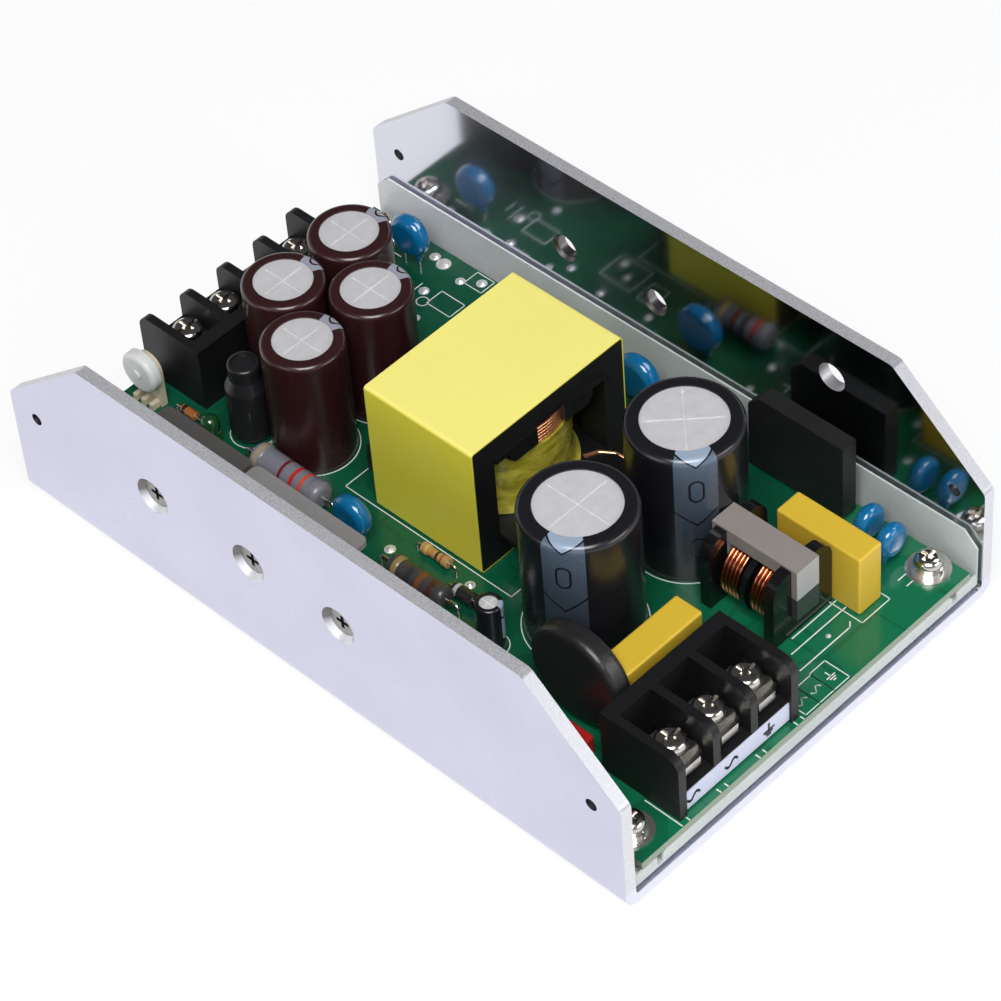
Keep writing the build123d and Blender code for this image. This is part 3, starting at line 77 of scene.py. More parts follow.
def add_node(tree, kind, settings=None, values=None):
    made = tree.nodes.new(kind)
    for name, value in (settings or {}).items():
        setattr(made, name, value)
    for name, value in (values or {}).items():
        if isinstance(value, bpy.types.NodeSocket):
            tree.links.new(value, made.inputs[name])
        else:
            made.inputs[name].default_value = value
    return made


def math_node(tree, operation, first, second=0.0):
    values = {0: first, 1: second}
    return add_node(tree, "ShaderNodeMath", {"operation": operation}, values).outputs[0]


def axes(tree, vector):
    return add_node(tree, "ShaderNodeSeparateXYZ", values={0: vector}).outputs


def graded(tree, value, start, end, low=0.0, high=1.0, smooth=False):
    """Runs from low to high while the value goes from start to end, and stays level beyond them."""
    return add_node(
        tree,
        "ShaderNodeMapRange",
        {"interpolation_type": "SMOOTHSTEP" if smooth else "LINEAR"},
        {"Value": value, "From Min": start, "From Max": end, "To Min": low, "To Max": high},
    ).outputs["Result"]


paper = bpy.data.materials.new("studio_paper")
paper.use_nodes = True
tree = paper.node_tree
tree.nodes.clear()
ray = add_node(tree, "ShaderNodeLightPath").outputs
paper_seen = math_node(tree, "MAXIMUM", ray["Is Camera Ray"], ray["Is Glossy Ray"])
paper_share = math_node(tree, "MULTIPLY", paper_seen, paper_white_share)
paper_diffuse = add_node(tree, "ShaderNodeBsdfDiffuse", values={"Color": paper_colour})
paper_glow = add_node(tree, "ShaderNodeEmission", values={"Color": (1, 1, 1, 1), "Strength": 1.0})
paper_mix = add_node(
    tree,
    "ShaderNodeMixShader",
    values={0: paper_share, 1: paper_diffuse.outputs[0], 2: paper_glow.outputs[0]},
)
add_node(tree, "ShaderNodeOutputMaterial", values={"Surface": paper_mix.outputs[0]})
paper_mesh = bmesh.new()
bmesh.ops.create_grid(paper_mesh, x_segments=1, y_segments=1, size=paper_half_width)
floor_data = bpy.data.meshes.new("floor")
paper_mesh.to_mesh(floor_data)
paper_mesh.free()
floor_data.materials.append(paper)
floor = bpy.data.objects.new("floor", floor_data)
scene.collection.objects.link(floor)

world = bpy.data.worlds.new("studio_world")
world.use_nodes = True
tree = world.node_tree
height = axes(tree, add_node(tree, "ShaderNodeTexCoord").outputs["Generated"])["Z"]
room_level = graded(
    tree, height, 0.0, room_dark_from, room_level_below, room_level_above, smooth=True
)
background = tree.nodes["Background"].inputs
background["Color"].default_value = room_tint
tree.links.new(room_level, background["Strength"])
scene.world = world

for name, place, size, power in (
    ("lamp_high", (-0.42, -0.42, 0.95), (0.6, 0.6), 13.5),
    ("lamp_left", (-0.90, 0.10, 0.40), (0.5, 0.5), 1.6),
    ("lamp_front", (0.35, -0.90, 0.50), (0.6, 0.4), 3.0),
):
    lamp_data = bpy.data.lights.new(name, "AREA")
    lamp_data.shape = "RECTANGLE"
    lamp_data.size, lamp_data.size_y = size
    lamp_data.energy = power
    lamp = bpy.data.objects.new(name, lamp_data)
    lamp_turn = (lamp_aim - Vector(place)).to_track_quat("-Z", "Y").to_matrix().to_4x4()
    lamp.matrix_world = Matrix.Translation(place) @ lamp_turn
    scene.collection.objects.link(lamp)


# Bracket: one aluminium sheet folded to a channel. Its faces keep the mill's polish and a faint
# rolling grain along the sheet, and its sheared edges are dull and rough.
MM = 0.001
outside_colour = (0.70, 0.70, 0.84)
outside_stain = (0.60, 0.60, 0.73)
# Painted shade: the inner faces are coloured darker than the outer ones, and painted light makes
# them paler towards the rear
inside_shaded_colour = (0.44, 0.46, 0.48)
inside_rear_lit_colour = (0.70, 0.71, 0.79)
edge_dark = (0.57, 0.57, 0.60)
edge_bright = (0.78, 0.78, 0.82)
edge_front_light = (0.84, 0.84, 0.92)
edge_sloped_shade = (0.30, 0.30, 0.33)
base_end_colour = (0.74, 0.74, 0.84)
hole_shade_colour = (0.20, 0.19, 0.20)
hole_floor_light_colour = (0.74, 0.74, 0.78)
# Share of each effect on the colour, on the metallic look and on the relief
front_light_share, sloped_shade_share = 0.12, 0.45
edge_matte, hole_floor_matte, bloom_matte = 0.40, 0.5, 0.12
rolling_relief, shear_relief = 0.25, 0.6
# Height where the walls start, how squarely a face must look along an axis to count as such, and
# where the painted light on the inner faces begins and is full towards the rear
wall_start = 4.2 * MM
squarely = 0.75
rear_light_start, rear_light_end = -25 * MM, 60 * MM
# Holes through the walls as (y, z, radius) in millimetres, and the share of painted light on their
# lower side; all their sides are painted dark as painted shade
wall_holes = (
    ((37.4, 23.9, 4.4), 1.0),
    ((12.9, 23.9, 4.4), 1.0),
    ((-9.4, 23.9, 4.4), 1.0),
    ((24.7, 24.9, 3.3), 0.0),
    ((2.1, 24.9, 3.3), 0.0),
    ((-40.4, 32.8, 3.3), 0.6),
    ((-68.5, 23.0, 1.8), 0.0),
    ((68.5, 23.0, 1.8), 0.0),
)


def new_material(name, colour, roughness, metallic=0.0):
    material = bpy.data.materials.new(name)
    material.use_nodes = True
    shader = material.node_tree.nodes["Principled BSDF"]
    shader.inputs["Base Color"].default_value = (*colour, 1)
    shader.inputs["Roughness"].default_value = roughness
    shader.inputs["Metallic"].default_value = metallic
    return material, material.node_tree, shader


def new_group(name, inputs, outputs):
    group = bpy.data.node_groups.new(name, "ShaderNodeTree")
    for socket_name, kind, value in inputs:
        socket = group.interface.new_socket(name=socket_name, in_out="INPUT", socket_type=kind)
        if value is not None:
            socket.default_value = value
    for socket_name, kind in outputs:
        group.interface.new_socket(name=socket_name, in_out="OUTPUT", socket_type=kind)
    made = group.nodes.new("NodeGroupOutput").inputs
    return group, group.nodes.new("NodeGroupInput").outputs, made


def mix_colour(tree, share, first, second):
    mixer = add_node(tree, "ShaderNodeMix", {"data_type": "RGBA"})
    for index, value in ((0, share), (6, first), (7, second)):
        if isinstance(value, bpy.types.NodeSocket):
            tree.links.new(value, mixer.inputs[index])
        elif index == 0:
            mixer.inputs[index].default_value = value
        else:
            mixer.inputs[index].default_value = (*value, 1)
    return mixer.outputs[2]


def mix_value(tree, share, first, second):
    return add_node(tree, "ShaderNodeMix", values={0: share, 2: first, 3: second}).outputs[0]


def noise(tree, vector, scale, detail, distortion=0.0):
    values = {"Vector": vector, "Scale": scale, "Detail": detail, "Distortion": distortion}
    return add_node(tree, "ShaderNodeTexNoise", values=values).outputs["Fac"]


def length_of(tree, vector):
    settings = {"operation": "LENGTH"}
    return add_node(tree, "ShaderNodeVectorMath", settings, {0: vector}).outputs["Value"]


def object_place(tree):
    return add_node(tree, "ShaderNodeTexCoord").outputs["Object"]


def facing_axes(tree):
    """The direction that the surface faces, along X, Y and Z."""
    return axes(tree, add_node(tree, "ShaderNodeTexCoord").outputs["Normal"])


def stretched_place(tree, scale, turn=(0, 0, 0)):
    values = {"Vector": object_place(tree), "Rotation": turn, "Scale": scale}
    return add_node(tree, "ShaderNodeMapping", values=values).outputs[0]


def bump(tree, shader, height, strength, distance):
    values = {"Height": height, "Strength": strength, "Distance": distance}
    made = add_node(tree, "ShaderNodeBump", values=values)
    tree.links.new(made.outputs[0], shader.inputs["Normal"])


# Surface variation: broad patches that darken the colour and dull the gloss, under a fine grain
patch_part, grain_part = 0.7, 0.3
variation, given, made = new_group(
    "surface_variation",
    [
        ("Vector", "NodeSocketVector", None),
        ("Color", "NodeSocketColor", (0.5, 0.5, 0.5, 1)),
        ("Darkening", "NodeSocketFloat", 0.2),
        ("Roughness", "NodeSocketFloat", 0.4),
        ("Roughness Spread", "NodeSocketFloat", 0.1),
        ("Patch Scale", "NodeSocketFloat", 150.0),
        ("Grain Scale", "NodeSocketFloat", 2500.0),
    ],
    [("Color", "NodeSocketColor"), ("Roughness", "NodeSocketFloat"), ("Height", "NodeSocketFloat")],
)
patches = noise(variation, given["Vector"], given["Patch Scale"], 4.0)
grain = noise(variation, given["Vector"], given["Grain Scale"], 2.0)
patch_and_grain = math_node(
    variation,
    "ADD",
    math_node(variation, "MULTIPLY", patches, patch_part),
    math_node(variation, "MULTIPLY", grain, grain_part),
)
shade_share = math_node(variation, "MULTIPLY", patch_and_grain, given["Darkening"])
shaded = mix_colour(variation, shade_share, given["Color"], (0.0, 0.0, 0.0))
centred = math_node(variation, "SUBTRACT", patch_and_grain, 0.5)
roughness_shift = math_node(variation, "MULTIPLY", centred, given["Roughness Spread"])
shifted = math_node(variation, "ADD", given["Roughness"], roughness_shift)
variation.links.new(shaded, made["Color"])
variation.links.new(shifted, made["Roughness"])
variation.links.new(grain, made["Height"])


def varied(name, colour, roughness, metallic=0.0, darkening=0.25, spread=0.15, patch=150.0,
           grain_scale=2500.0, depth=0.02 * MM, strength=0.3, base=None, coat=0.0,
           coat_roughness=0.1, specular=0.5):
    """A material whose colour, gloss and height vary over the piece. Base may be a function that
    returns a socket with the colour before the variation."""
    material, tree, shader = new_material(name, colour, roughness, metallic)
    surface = add_node(
        tree,
        "ShaderNodeGroup",
        {"node_tree": variation},
        {
            "Vector": object_place(tree),
            "Color": (*colour, 1),
            "Darkening": darkening,
            "Roughness": roughness,
            "Roughness Spread": spread,
            "Patch Scale": patch,
            "Grain Scale": grain_scale,
        },
    )
    if base is not None:
        tree.links.new(base(tree), surface.inputs["Color"])
    tree.links.new(surface.outputs["Color"], shader.inputs["Base Color"])
    tree.links.new(surface.outputs["Roughness"], shader.inputs["Roughness"])
    bump(tree, shader, surface.outputs["Height"], strength, depth)
    shader.inputs["Coat Weight"].default_value = coat
    shader.inputs["Coat Roughness"].default_value = coat_roughness
    shader.inputs["Specular IOR Level"].default_value = specular
    return material


def dress(material, *names):
    """Gives CAD nodes a material."""
    for name in names:
        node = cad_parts[name]
        if not node.material_slots:
            node.data.materials.append(material)
        for place in node.material_slots:
            place.material = material


def spread_out(tree, texture, least, spread):
    return math_node(tree, "ADD", least, math_node(tree, "MULTIPLY", texture, spread))


bracket_metal, tree, shader = new_material("bracket_sheet", outside_colour, 0.2, 1.0)
place = axes(tree, object_place(tree))
facing = facing_axes(tree)
wall_height = math_node(tree, "GREATER_THAN", place["Z"], wall_start)
not_across = math_node(tree, "LESS_THAN", math_node(tree, "ABSOLUTE", facing["X"]), squarely)
wall_edge = math_node(tree, "MULTIPLY", wall_height, not_across)
end_edge = math_node(tree, "GREATER_THAN", math_node(tree, "ABSOLUTE", facing["Y"]), squarely)
cut_edge = math_node(tree, "MAXIMUM", wall_edge, end_edge)
base_height = math_node(tree, "LESS_THAN", place["Z"], wall_start)
base_end = math_node(tree, "MULTIPLY", end_edge, base_height)
in_hole = lit_hole = 0.0
for (y, z, radius), light in wall_holes:
    from_centre = {
        1: math_node(tree, "SUBTRACT", place["Y"], y * MM),
        2: math_node(tree, "SUBTRACT", place["Z"], z * MM),
    }
    offset = add_node(tree, "ShaderNodeCombineXYZ", values=from_centre).outputs[0]
    distance = length_of(tree, offset)
    within = math_node(tree, "LESS_THAN", distance, radius * MM)
    in_hole = math_node(tree, "MAXIMUM", in_hole, within)
    lit_hole = math_node(tree, "MAXIMUM", lit_hole, math_node(tree, "MULTIPLY", within, light))
# Painted shade on the sides of the holes, and painted light where these face upward
hole_side = math_node(tree, "MULTIPLY", in_hole, cut_edge)
hole_floor = math_node(
    tree,
    "MULTIPLY",
    graded(tree, facing["Z"], 0.1, 0.5),
    math_node(tree, "MULTIPLY", hole_side, lit_hole),
)
# The walls' inner faces look towards the middle, so their X and their direction differ in sign
outward = math_node(tree, "MULTIPLY", facing["X"], place["X"])
inside = math_node(tree, "LESS_THAN", outward, -20 * MM)
rearward = graded(tree, place["Y"], rear_light_start, rear_light_end, smooth=True)
rolling = noise(tree, stretched_place(tree, (1, 0.03, 1)), 1430.0, 3.0)
handling = noise(tree, object_place(tree), 45.0, 5.0)
shear_marks = noise(tree, stretched_place(tree, (1, 0.6, 1)), 3300.0, 2.0)

outside_rough = spread_out(tree, handling, 0.20, 0.16)
inside_rough = spread_out(tree, handling, 0.03, 0.13)
edge_rough = spread_out(tree, shear_marks, 0.28, 0.2)
face_rough = mix_value(tree, inside, outside_rough, inside_rough)
tree.links.new(mix_value(tree, cut_edge, face_rough, edge_rough), shader.inputs["Roughness"])

bloom = math_node(
    tree,
    "MULTIPLY",
    math_node(tree, "MULTIPLY", inside, rearward),
    math_node(tree, "MULTIPLY", handling, bloom_matte),
)
dull_edge = math_node(tree, "SUBTRACT", cut_edge, hole_side)
dullness = math_node(tree, "ADD", math_node(tree, "MULTIPLY", dull_edge, edge_matte), bloom)
matte_floor = math_node(tree, "MULTIPLY", hole_floor, hole_floor_matte)
dullness = math_node(tree, "ADD", dullness, matte_floor)
tree.links.new(math_node(tree, "SUBTRACT", 1.0, dullness), shader.inputs["Metallic"])

outer_face = mix_colour(tree, handling, outside_colour, outside_stain)
# Painted shade on the inner faces, turning to painted light towards the rear
inner_face_light_and_shade = mix_colour(tree, rearward, inside_shaded_colour, inside_rear_lit_colour)
face_colour = mix_colour(tree, inside, outer_face, inner_face_light_and_shade)
speckle = graded(tree, shear_marks, 0.3, 0.7)
# Painted light: the cut edges that face the front are lighter
front_light = graded(tree, facing["Y"], -0.2, -0.8, 0.0, front_light_share)
# Painted shade: the cut faces that slope up towards the front are darker
sloped = math_node(
    tree,
    "MULTIPLY",
    math_node(tree, "LESS_THAN", facing["Y"], -0.3),
    math_node(tree, "GREATER_THAN", facing["Z"], 0.4),
)
edge_colour = mix_colour(tree, speckle, edge_dark, edge_bright)
for share, colour in (
    (front_light, edge_front_light),
    (math_node(tree, "MULTIPLY", sloped, sloped_shade_share), edge_sloped_shade),
    (base_end, base_end_colour),
    (hole_side, hole_shade_colour),
    (hole_floor, hole_floor_light_colour),
):
    edge_colour = mix_colour(tree, share, edge_colour, colour)
tree.links.new(mix_colour(tree, cut_edge, face_colour, edge_colour), shader.inputs["Base Color"])

rolling_height = math_node(tree, "MULTIPLY", rolling, rolling_relief)
smoothed = math_node(tree, "MULTIPLY", hole_side, shear_relief)
shear_strength = math_node(tree, "SUBTRACT", shear_relief, smoothed)
shear_height = math_node(tree, "MULTIPLY", shear_marks, shear_strength)
bump(tree, shader, mix_value(tree, cut_edge, rolling_height, shear_height), 0.2, 0.03 * MM)
dress(bracket_metal, "bracket")


# Insulating sheet: thin milky plastic film, die cut and folded up along the board's edges. It
# lies on the standoffs under the board, and is denser towards the rear, where its colour is also
# painted paler as painted light.
film_colour = (0.84, 0.90, 0.88)
film_rear_lit_colour = (0.95, 0.96, 1.0)
film_front_alpha, film_rear_alpha = 0.62, 0.88
film_rear = 65 * MM


def film_tint_and_light(tree):
    # Painted light: the film is paler towards the rear
    rearward = graded(tree, axes(tree, object_place(tree))["Y"], 0.0, film_rear)
    return mix_colour(tree, rearward, film_colour, film_rear_lit_colour)


film = varied("insulating_film", film_colour, 0.30, darkening=0.36, spread=0.3, patch=45.0,
              grain_scale=900.0, depth=0.03 * MM, strength=0.2, base=film_tint_and_light)
tree = film.node_tree
along = axes(tree, object_place(tree))["Y"]
film_alpha = graded(tree, along, 0.0, film_rear, film_front_alpha, film_rear_alpha)
tree.links.new(film_alpha, tree.nodes["Principled BSDF"].inputs["Alpha"])
dress(film, "insulating_sheet")


# Circuit board: glass laminate under green solder mask, screwed on four standoffs. Copper areas
# show lighter through the mask, and the sawn edges show the bare laminate.
mask_over_copper = (0.006, 0.150, 0.066)
mask_over_laminate = (0.004, 0.092, 0.045)
mask_painted_shade = (0.002, 0.050, 0.028)
laminate_edge = (0.20, 0.26, 0.17)
copper_scale, copper_gap, copper_cover = 75.0, 0.035, 0.75
bare_share, inner_shade_share = 0.6, 0.55
# Where the painted shade on the mask begins, and where it is full
inner_shade_start, inner_shade_full = -48 * MM, -40 * MM


def board_colour(tree):
    place = object_place(tree)
    nearest, second = [
        add_node(
            tree,
            "ShaderNodeTexVoronoi",
            {"distance": "CHEBYCHEV", "feature": feature},
            {"Vector": place, "Scale": copper_scale, "Randomness": 0.9},
        ).outputs
        for feature in ("F1", "F2")
    ]
    spacing = math_node(tree, "SUBTRACT", second["Distance"], nearest["Distance"])
    gap = math_node(tree, "LESS_THAN", spacing, copper_gap)
    cell = add_node(tree, "ShaderNodeSeparateColor", values={0: nearest["Color"]}).outputs[0]
    bare = math_node(tree, "MAXIMUM", gap, math_node(tree, "GREATER_THAN", cell, copper_cover))
    bare = math_node(tree, "MULTIPLY", bare, bare_share)
    top = mix_colour(tree, bare, mask_over_copper, mask_over_laminate)
    # Painted shade: behind the front strip, among the tall parts, the mask is painted darker
    inner = graded(tree, axes(tree, place)["Y"], inner_shade_start, inner_shade_full, 0.0, inner_shade_share)
    top = mix_colour(tree, inner, top, mask_painted_shade)
    upright = math_node(tree, "ABSOLUTE", facing_axes(tree)["Z"])
    return mix_colour(tree, math_node(tree, "LESS_THAN", upright, 0.5), top, laminate_edge)


board_mask = varied("board_solder_mask", mask_over_copper, 0.22, darkening=0.2, spread=0.12,
                    patch=90.0, grain_scale=1800.0, strength=0.2, base=board_colour, coat=0.4)
dress(board_mask, "circuit_board")


# Silk-screen print on the board: white outlines of the parts, small position marks, and the
# symbols for alternating current and earth, in ink that stands up a little from the mask.
def finish_mesh(name, form, material, smooth_angle=40.0):
    """Turns a bmesh into a piece of the object that rides on its one body."""
    bmesh.ops.recalc_face_normals(form, faces=form.faces)
    data = bpy.data.meshes.new(name)
    form.to_mesh(data)
    form.free()
    data.shade_smooth()
    data.set_sharp_from_angle(angle=math.radians(smooth_angle))
    data.materials.append(material)
    piece = bpy.data.objects.new(name, data)
    scene.collection.objects.link(piece)
    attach(piece, "root")
    return piece


def add_bar(form, start, end, width, bottom, thickness):
    """Flat bar between two points given in millimetres."""
    start, end = Vector(start) * MM, Vector(end) * MM
    along = end - start
    middle = (start + end) / 2
    turn = math.atan2(along.y, along.x)
    size = Matrix.Diagonal((along.length + width * MM, width * MM, thickness * MM, 1))
    place = Matrix.Translation((middle.x, middle.y, (bottom + thickness / 2) * MM))
    bmesh.ops.create_cube(form, size=1.0, matrix=place @ Matrix.Rotation(turn, 4, "Z") @ size)


def add_frame(form, low, high, width, bottom, thickness):
    corners = [(low[0], low[1]), (high[0], low[1]), (high[0], high[1]), (low[0], high[1])]
    for index in range(4):
        add_bar(form, corners[index], corners[(index + 1) % 4], width, bottom, thickness)


def add_ring(form, x, y, inner, outer, bottom, thickness, steps):
    """Flat ring: a small rectangle spun once about a vertical axis."""
    top = bottom + thickness
    profile = [(inner, bottom), (outer, bottom), (outer, top), (inner, top)]
    points = [form.verts.new(((x + r) * MM, y * MM, z * MM)) for r, z in profile]
    edges = [form.edges.new((points[i], points[(i + 1) % 4])) for i in range(4)]
    bmesh.ops.spin(
        form,
        geom=points + edges,
        cent=(x * MM, y * MM, 0),
        axis=(0, 0, 1),
        angle=2 * math.pi,
        steps=steps,
        use_merge=True,
    )


board_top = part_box("circuit_board")[1].z / MM
ink_thickness = 0.03
ink_width = 0.2
mark_width = 0.25
print_row, print_size = -71.5, 1.2
print_form = bmesh.new()
# Frames round square parts, from corner to corner
for low, high in (
    ((-13.9, -16.7), (25.6, 25.1)),
    ((21.7, -67.7), (29.2, -46.0)),
    ((6.7, -74.0), (10.8, -68.4)),
    ((2.9, -74.0), (6.7, -68.7)),
    ((-0.7, -74.0), (2.9, -69.2)),
    ((38.8, 41.5), (42.6, 46.0)),
    ((30.2, 41.5), (34.4, 47.6)),
    ((27.0, 20.0), (33.5, 28.0)),
    ((-31.5, -14.5), (-27.5, -9.5)),
    ((29.0, 14.0), (34.0, 18.0)),
    ((-30.5, 12.0), (-26.5, 20.0)),
):
    add_frame(print_form, low, high, ink_width, board_top, ink_thickness)
# Circles round the upright parts
for x, y, radius in (
    (-15.2, 48.1, 4.3),
    (-9.5, -30.6, 11.4),
    (17.4, -30.9, 11.4),
    (15.8, 50.8, 8.3),
    (-1.2, 50.8, 8.3),
    (7.6, 37.0, 8.3),
    (-9.8, 37.0, 8.3),
    (-24.3, -22.0, 3.1),
    (30.0, 48.5, 1.2),
):
    inner, outer = radius - ink_width / 2, radius + ink_width / 2
    add_ring(print_form, x, y, inner, outer, board_top, ink_thickness, steps=48)
# Lines, the feet of the terminal marks, and signs of polarity
for start, end in (
    ((6.3, -66.7), (19.5, -66.7)),
    ((19.5, -66.7), (20.5, -65.9)),
    ((8.2, -63.1), (22.6, -63.1)),
    ((11.0, -60.8), (22.8, -60.8)),
    ((-32.7, -65.9), (-32.7, -74.2)),
    ((-30.9, -73.6), (-30.9, -74.3)),
    ((-23.0, -73.4), (-23.0, -74.3)),
    ((-21.2, -73.6), (-21.2, -74.3)),
    ((-13.0, -73.4), (-13.0, -74.3)),
    ((-11.4, -73.6), (-11.4, -74.3)),
    ((-3.3, -73.4), (-3.3, -74.3)),
    ((-1.6, -73.6), (-1.6, -74.3)),
    ((36.2, 60.5), (36.2, 63.5)),
    ((29.5, 52.0), (33.5, 52.0)),
    ((29.5, 54.0), (32.0, 54.0)),
    ((30.0, 8.0), (33.0, 8.0)),
    ((31.5, 6.5), (31.5, 9.5)),
    ((-27.0, 8.5), (-24.0, 8.5)),
    ((-27.0, 10.0), (-25.0, 10.0)),
    ((32.0, -20.0), (35.0, -20.0)),
    ((33.5, -21.5), (33.5, -18.5)),
    ((33.5, -66.0), (36.0, -66.0)),
    ((33.5, -68.0), (35.0, -68.0)),
):
    add_bar(print_form, start, end, mark_width, board_top, ink_thickness)
# Strokes of the two symbols, about their own middle
wave_points = [(step / 4, 0.45 * math.sin(math.pi * step / 4)) for step in range(-4, 5)]
wave = list(zip(wave_points, wave_points[1:]))
earth = [
    ((0.0, 1.0), (0.0, 0.0)),
    ((-0.8, 0.0), (0.8, 0.0)),
    ((-0.5, -0.4), (0.5, -0.4)),
    ((-0.2, -0.8), (0.2, -0.8)),
]


def add_symbol(form, strokes, x, y, size, width, bottom, thickness):
    for start, end in strokes:
        ends = [(x + size * point[0], y + size * point[1]) for point in (start, end)]
        add_bar(form, ends[0], ends[1], width, bottom, thickness)


for strokes, x in ((wave, 1.1), (wave, 4.8), (earth, 8.75)):
    add_symbol(print_form, strokes, x, print_row, print_size, mark_width, board_top, ink_thickness)
ink = varied("silk_ink", (0.70, 0.74, 0.71), 0.5, darkening=0.15, spread=0.1, patch=400.0)
finish_mesh("board_print", print_form, ink)


# Solder lands: tinned copper rings round the holes of the leads, with a low cone of solder
# drawn up in each by surface tension.
land_thickness = 0.06
cone_height = 0.5
land_form = bmesh.new()
for x, y, radius in (
    (-19.8, 7.8, 1.1), (-16.7, -9.2, 1.0), (30.0, 62.0, 1.0), (33.0, 64.0, 0.8),
    (28.5, 26.0, 1.0), (31.0, 23.0, 0.8), (-27.5, 2.5, 0.8), (25.5, -44.0, 0.9),
    (31.5, -14.0, 0.9), (30.5, -30.0, 0.9), (40.0, 52.6, 1.5), (40.4, 55.3, 1.1),
    (38.6, 46.8, 1.0), (40.8, 43.2, 1.1), (32.2, 50.3, 1.1), (25.9, 46.3, 0.9),
    (38.8, 62.5, 0.8), (15.5, -65.2, 0.5), (38.5, 36.5, 0.8), (36.0, 33.0, 0.9),
    (40.5, 29.5, 0.8), (37.5, 24.0, 0.9), (41.0, 18.0, 0.8), (36.5, 12.5, 0.9),
    (40.0, 8.5, 0.8), (31.0, -22.5, 0.8), (38.5, -14.5, 0.8), (34.0, -48.5, 0.8),
    (-26.0, -13.5, 0.9), (-29.0, 30.5, 0.8),
):
    add_ring(land_form, x, y, radius * 0.2, radius, board_top, land_thickness, steps=24)
    cone_middle = (x * MM, y * MM, (board_top + cone_height / 2) * MM)
    bmesh.ops.create_cone(
        land_form,
        cap_ends=True,
        segments=20,
        radius1=radius * 0.85 * MM,
        radius2=radius * 0.25 * MM,
        depth=cone_height * MM,
        matrix=Matrix.Translation(cone_middle),
    )
solder = varied("solder", (0.88, 0.88, 0.88), 0.3, metallic=0.55, darkening=0.2, spread=0.3,
                patch=600.0)
finish_mesh("solder_lands", land_form, solder)


# Standoffs, screws, nuts and washers: turned, headed and stamped brass or steel with a nickel
# finish. The standoffs are pressed in the base, and the countersunk screws go through the wall.
nickel = varied("nickel_plate", (0.78, 0.74, 0.69), 0.17, metallic=1.0, darkening=0.35, spread=0.2,
                patch=700.0, grain_scale=5000.0, depth=0.01 * MM)
dress(nickel, "board_screws", "terminal_screws", "wall_nuts")
washer_plate = varied("washer_plate", (0.84, 0.80, 0.76), 0.24, metallic=0.92, darkening=0.2,
                      spread=0.2, patch=500.0)
dress(washer_plate, "spring_washers", "flat_washers")
countersunk_plate = varied("countersunk_plate", (0.38, 0.37, 0.36), 0.28, metallic=1.0,
                           darkening=0.3, spread=0.2, patch=700.0)
dress(countersunk_plate, "wall_screws")
standoff_plate = varied("standoff_plate", (0.72, 0.68, 0.58), 0.3, metallic=1.0, darkening=0.3,
                        patch=500.0)
dress(standoff_plate, "standoffs")


# Terminal blocks: moulded black plastic housings soldered to the board, with plated brass
# contacts, steel clamps, and a printed paper strip on the input block's front.
symbol_size, symbol_width, symbol_thickness = 1.5, 0.5, 0.04
housing_plastic = varied("terminal_housing_plastic", (0.007, 0.007, 0.008), 0.46, darkening=0.3,
                         spread=0.12, patch=200.0, grain_scale=3000.0, depth=0.03 * MM,
                         strength=0.4, specular=0.35)
dress(housing_plastic, "input_terminal_housing", "output_terminal_housing")
contact_plate = varied("contact_plate", (0.74, 0.71, 0.66), 0.24, metallic=1.0, darkening=0.3,
                       spread=0.2, patch=500.0)
dress(contact_plate, "terminal_contacts", "terminal_clamps")
label_stock = varied("label_stock", (0.58, 0.60, 0.74), 0.45, darkening=0.08, spread=0.1,
                     patch=300.0)
dress(label_stock, "input_terminal_label")
label_low, label_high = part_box("input_terminal_label")
label_middle = (0, label_low.y, (label_low.z + label_high.z) / 2)
upright_turn = Matrix.Rotation(math.radians(90), 3, "X")
symbol_form = bmesh.new()
for strokes, x in ((wave, -28.2), (wave, -18.6), (earth, -9.0)):
    add_symbol(symbol_form, strokes, x, 0.0, symbol_size, symbol_width, 0.0, symbol_thickness)
bmesh.ops.rotate(symbol_form, verts=symbol_form.verts, cent=(0, 0, 0), matrix=upright_turn)
bmesh.ops.translate(symbol_form, verts=symbol_form.verts, vec=label_middle)
symbol_ink = varied("symbol_ink", (0.03, 0.03, 0.035), 0.5, darkening=0.2, spread=0.1, patch=600.0)
finish_mesh("label_symbols", symbol_form, symbol_ink)


# Capacitors: drawn aluminium cans with scored tops in printed shrink sleeves, standing on their
# leads. A pale stripe down the sleeve marks the negative side, with chevrons and ovals in it.
mark_pitch = 14.4 * MM
chevron_slope = 0.85
chevron_half_width = 0.24 * MM
oval_drop = 6.0 * MM
oval_half_length, oval_radius, oval_half_width = 1.2 * MM, 1.25 * MM, 0.2 * MM
score_half_width = 0.2 * MM
score_share = 0.55
can_colour = (0.70, 0.69, 0.71)
score_colour = (0.95, 0.95, 0.97)
# Stripe colours from the top down: painted light above the first chevron, the stripe's own tone,
# and painted shade towards the bottom of the sleeve
input_stripe_lit_and_shaded = ((0.30, 0.37, 0.48), (0.11, 0.15, 0.21), (0.008, 0.010, 0.014))
black_look = ((0.008, 0.008, 0.011), input_stripe_lit_and_shaded, 0.68)
output_stripe_shaded = ((0.30, 0.31, 0.37), (0.30, 0.31, 0.37), (0.14, 0.14, 0.17))
brown_look = ((0.030, 0.008, 0.009), output_stripe_shaded, 0.6)
stripe_group, given, made = new_group(
    "sleeve_stripe",
    [
        ("Vector", "NodeSocketVector", None),
        ("Radius", "NodeSocketFloat", 0.01),
        ("Half Width", "NodeSocketFloat", 0.004),
        ("Sleeve Height", "NodeSocketFloat", 0.03),
        ("First Mark", "NodeSocketFloat", 0.0015),
        ("Mark Pitch", "NodeSocketFloat", mark_pitch),
    ],
    [(name, "NodeSocketFloat") for name in ("Stripe", "Marks", "Upper", "Depth")],
)


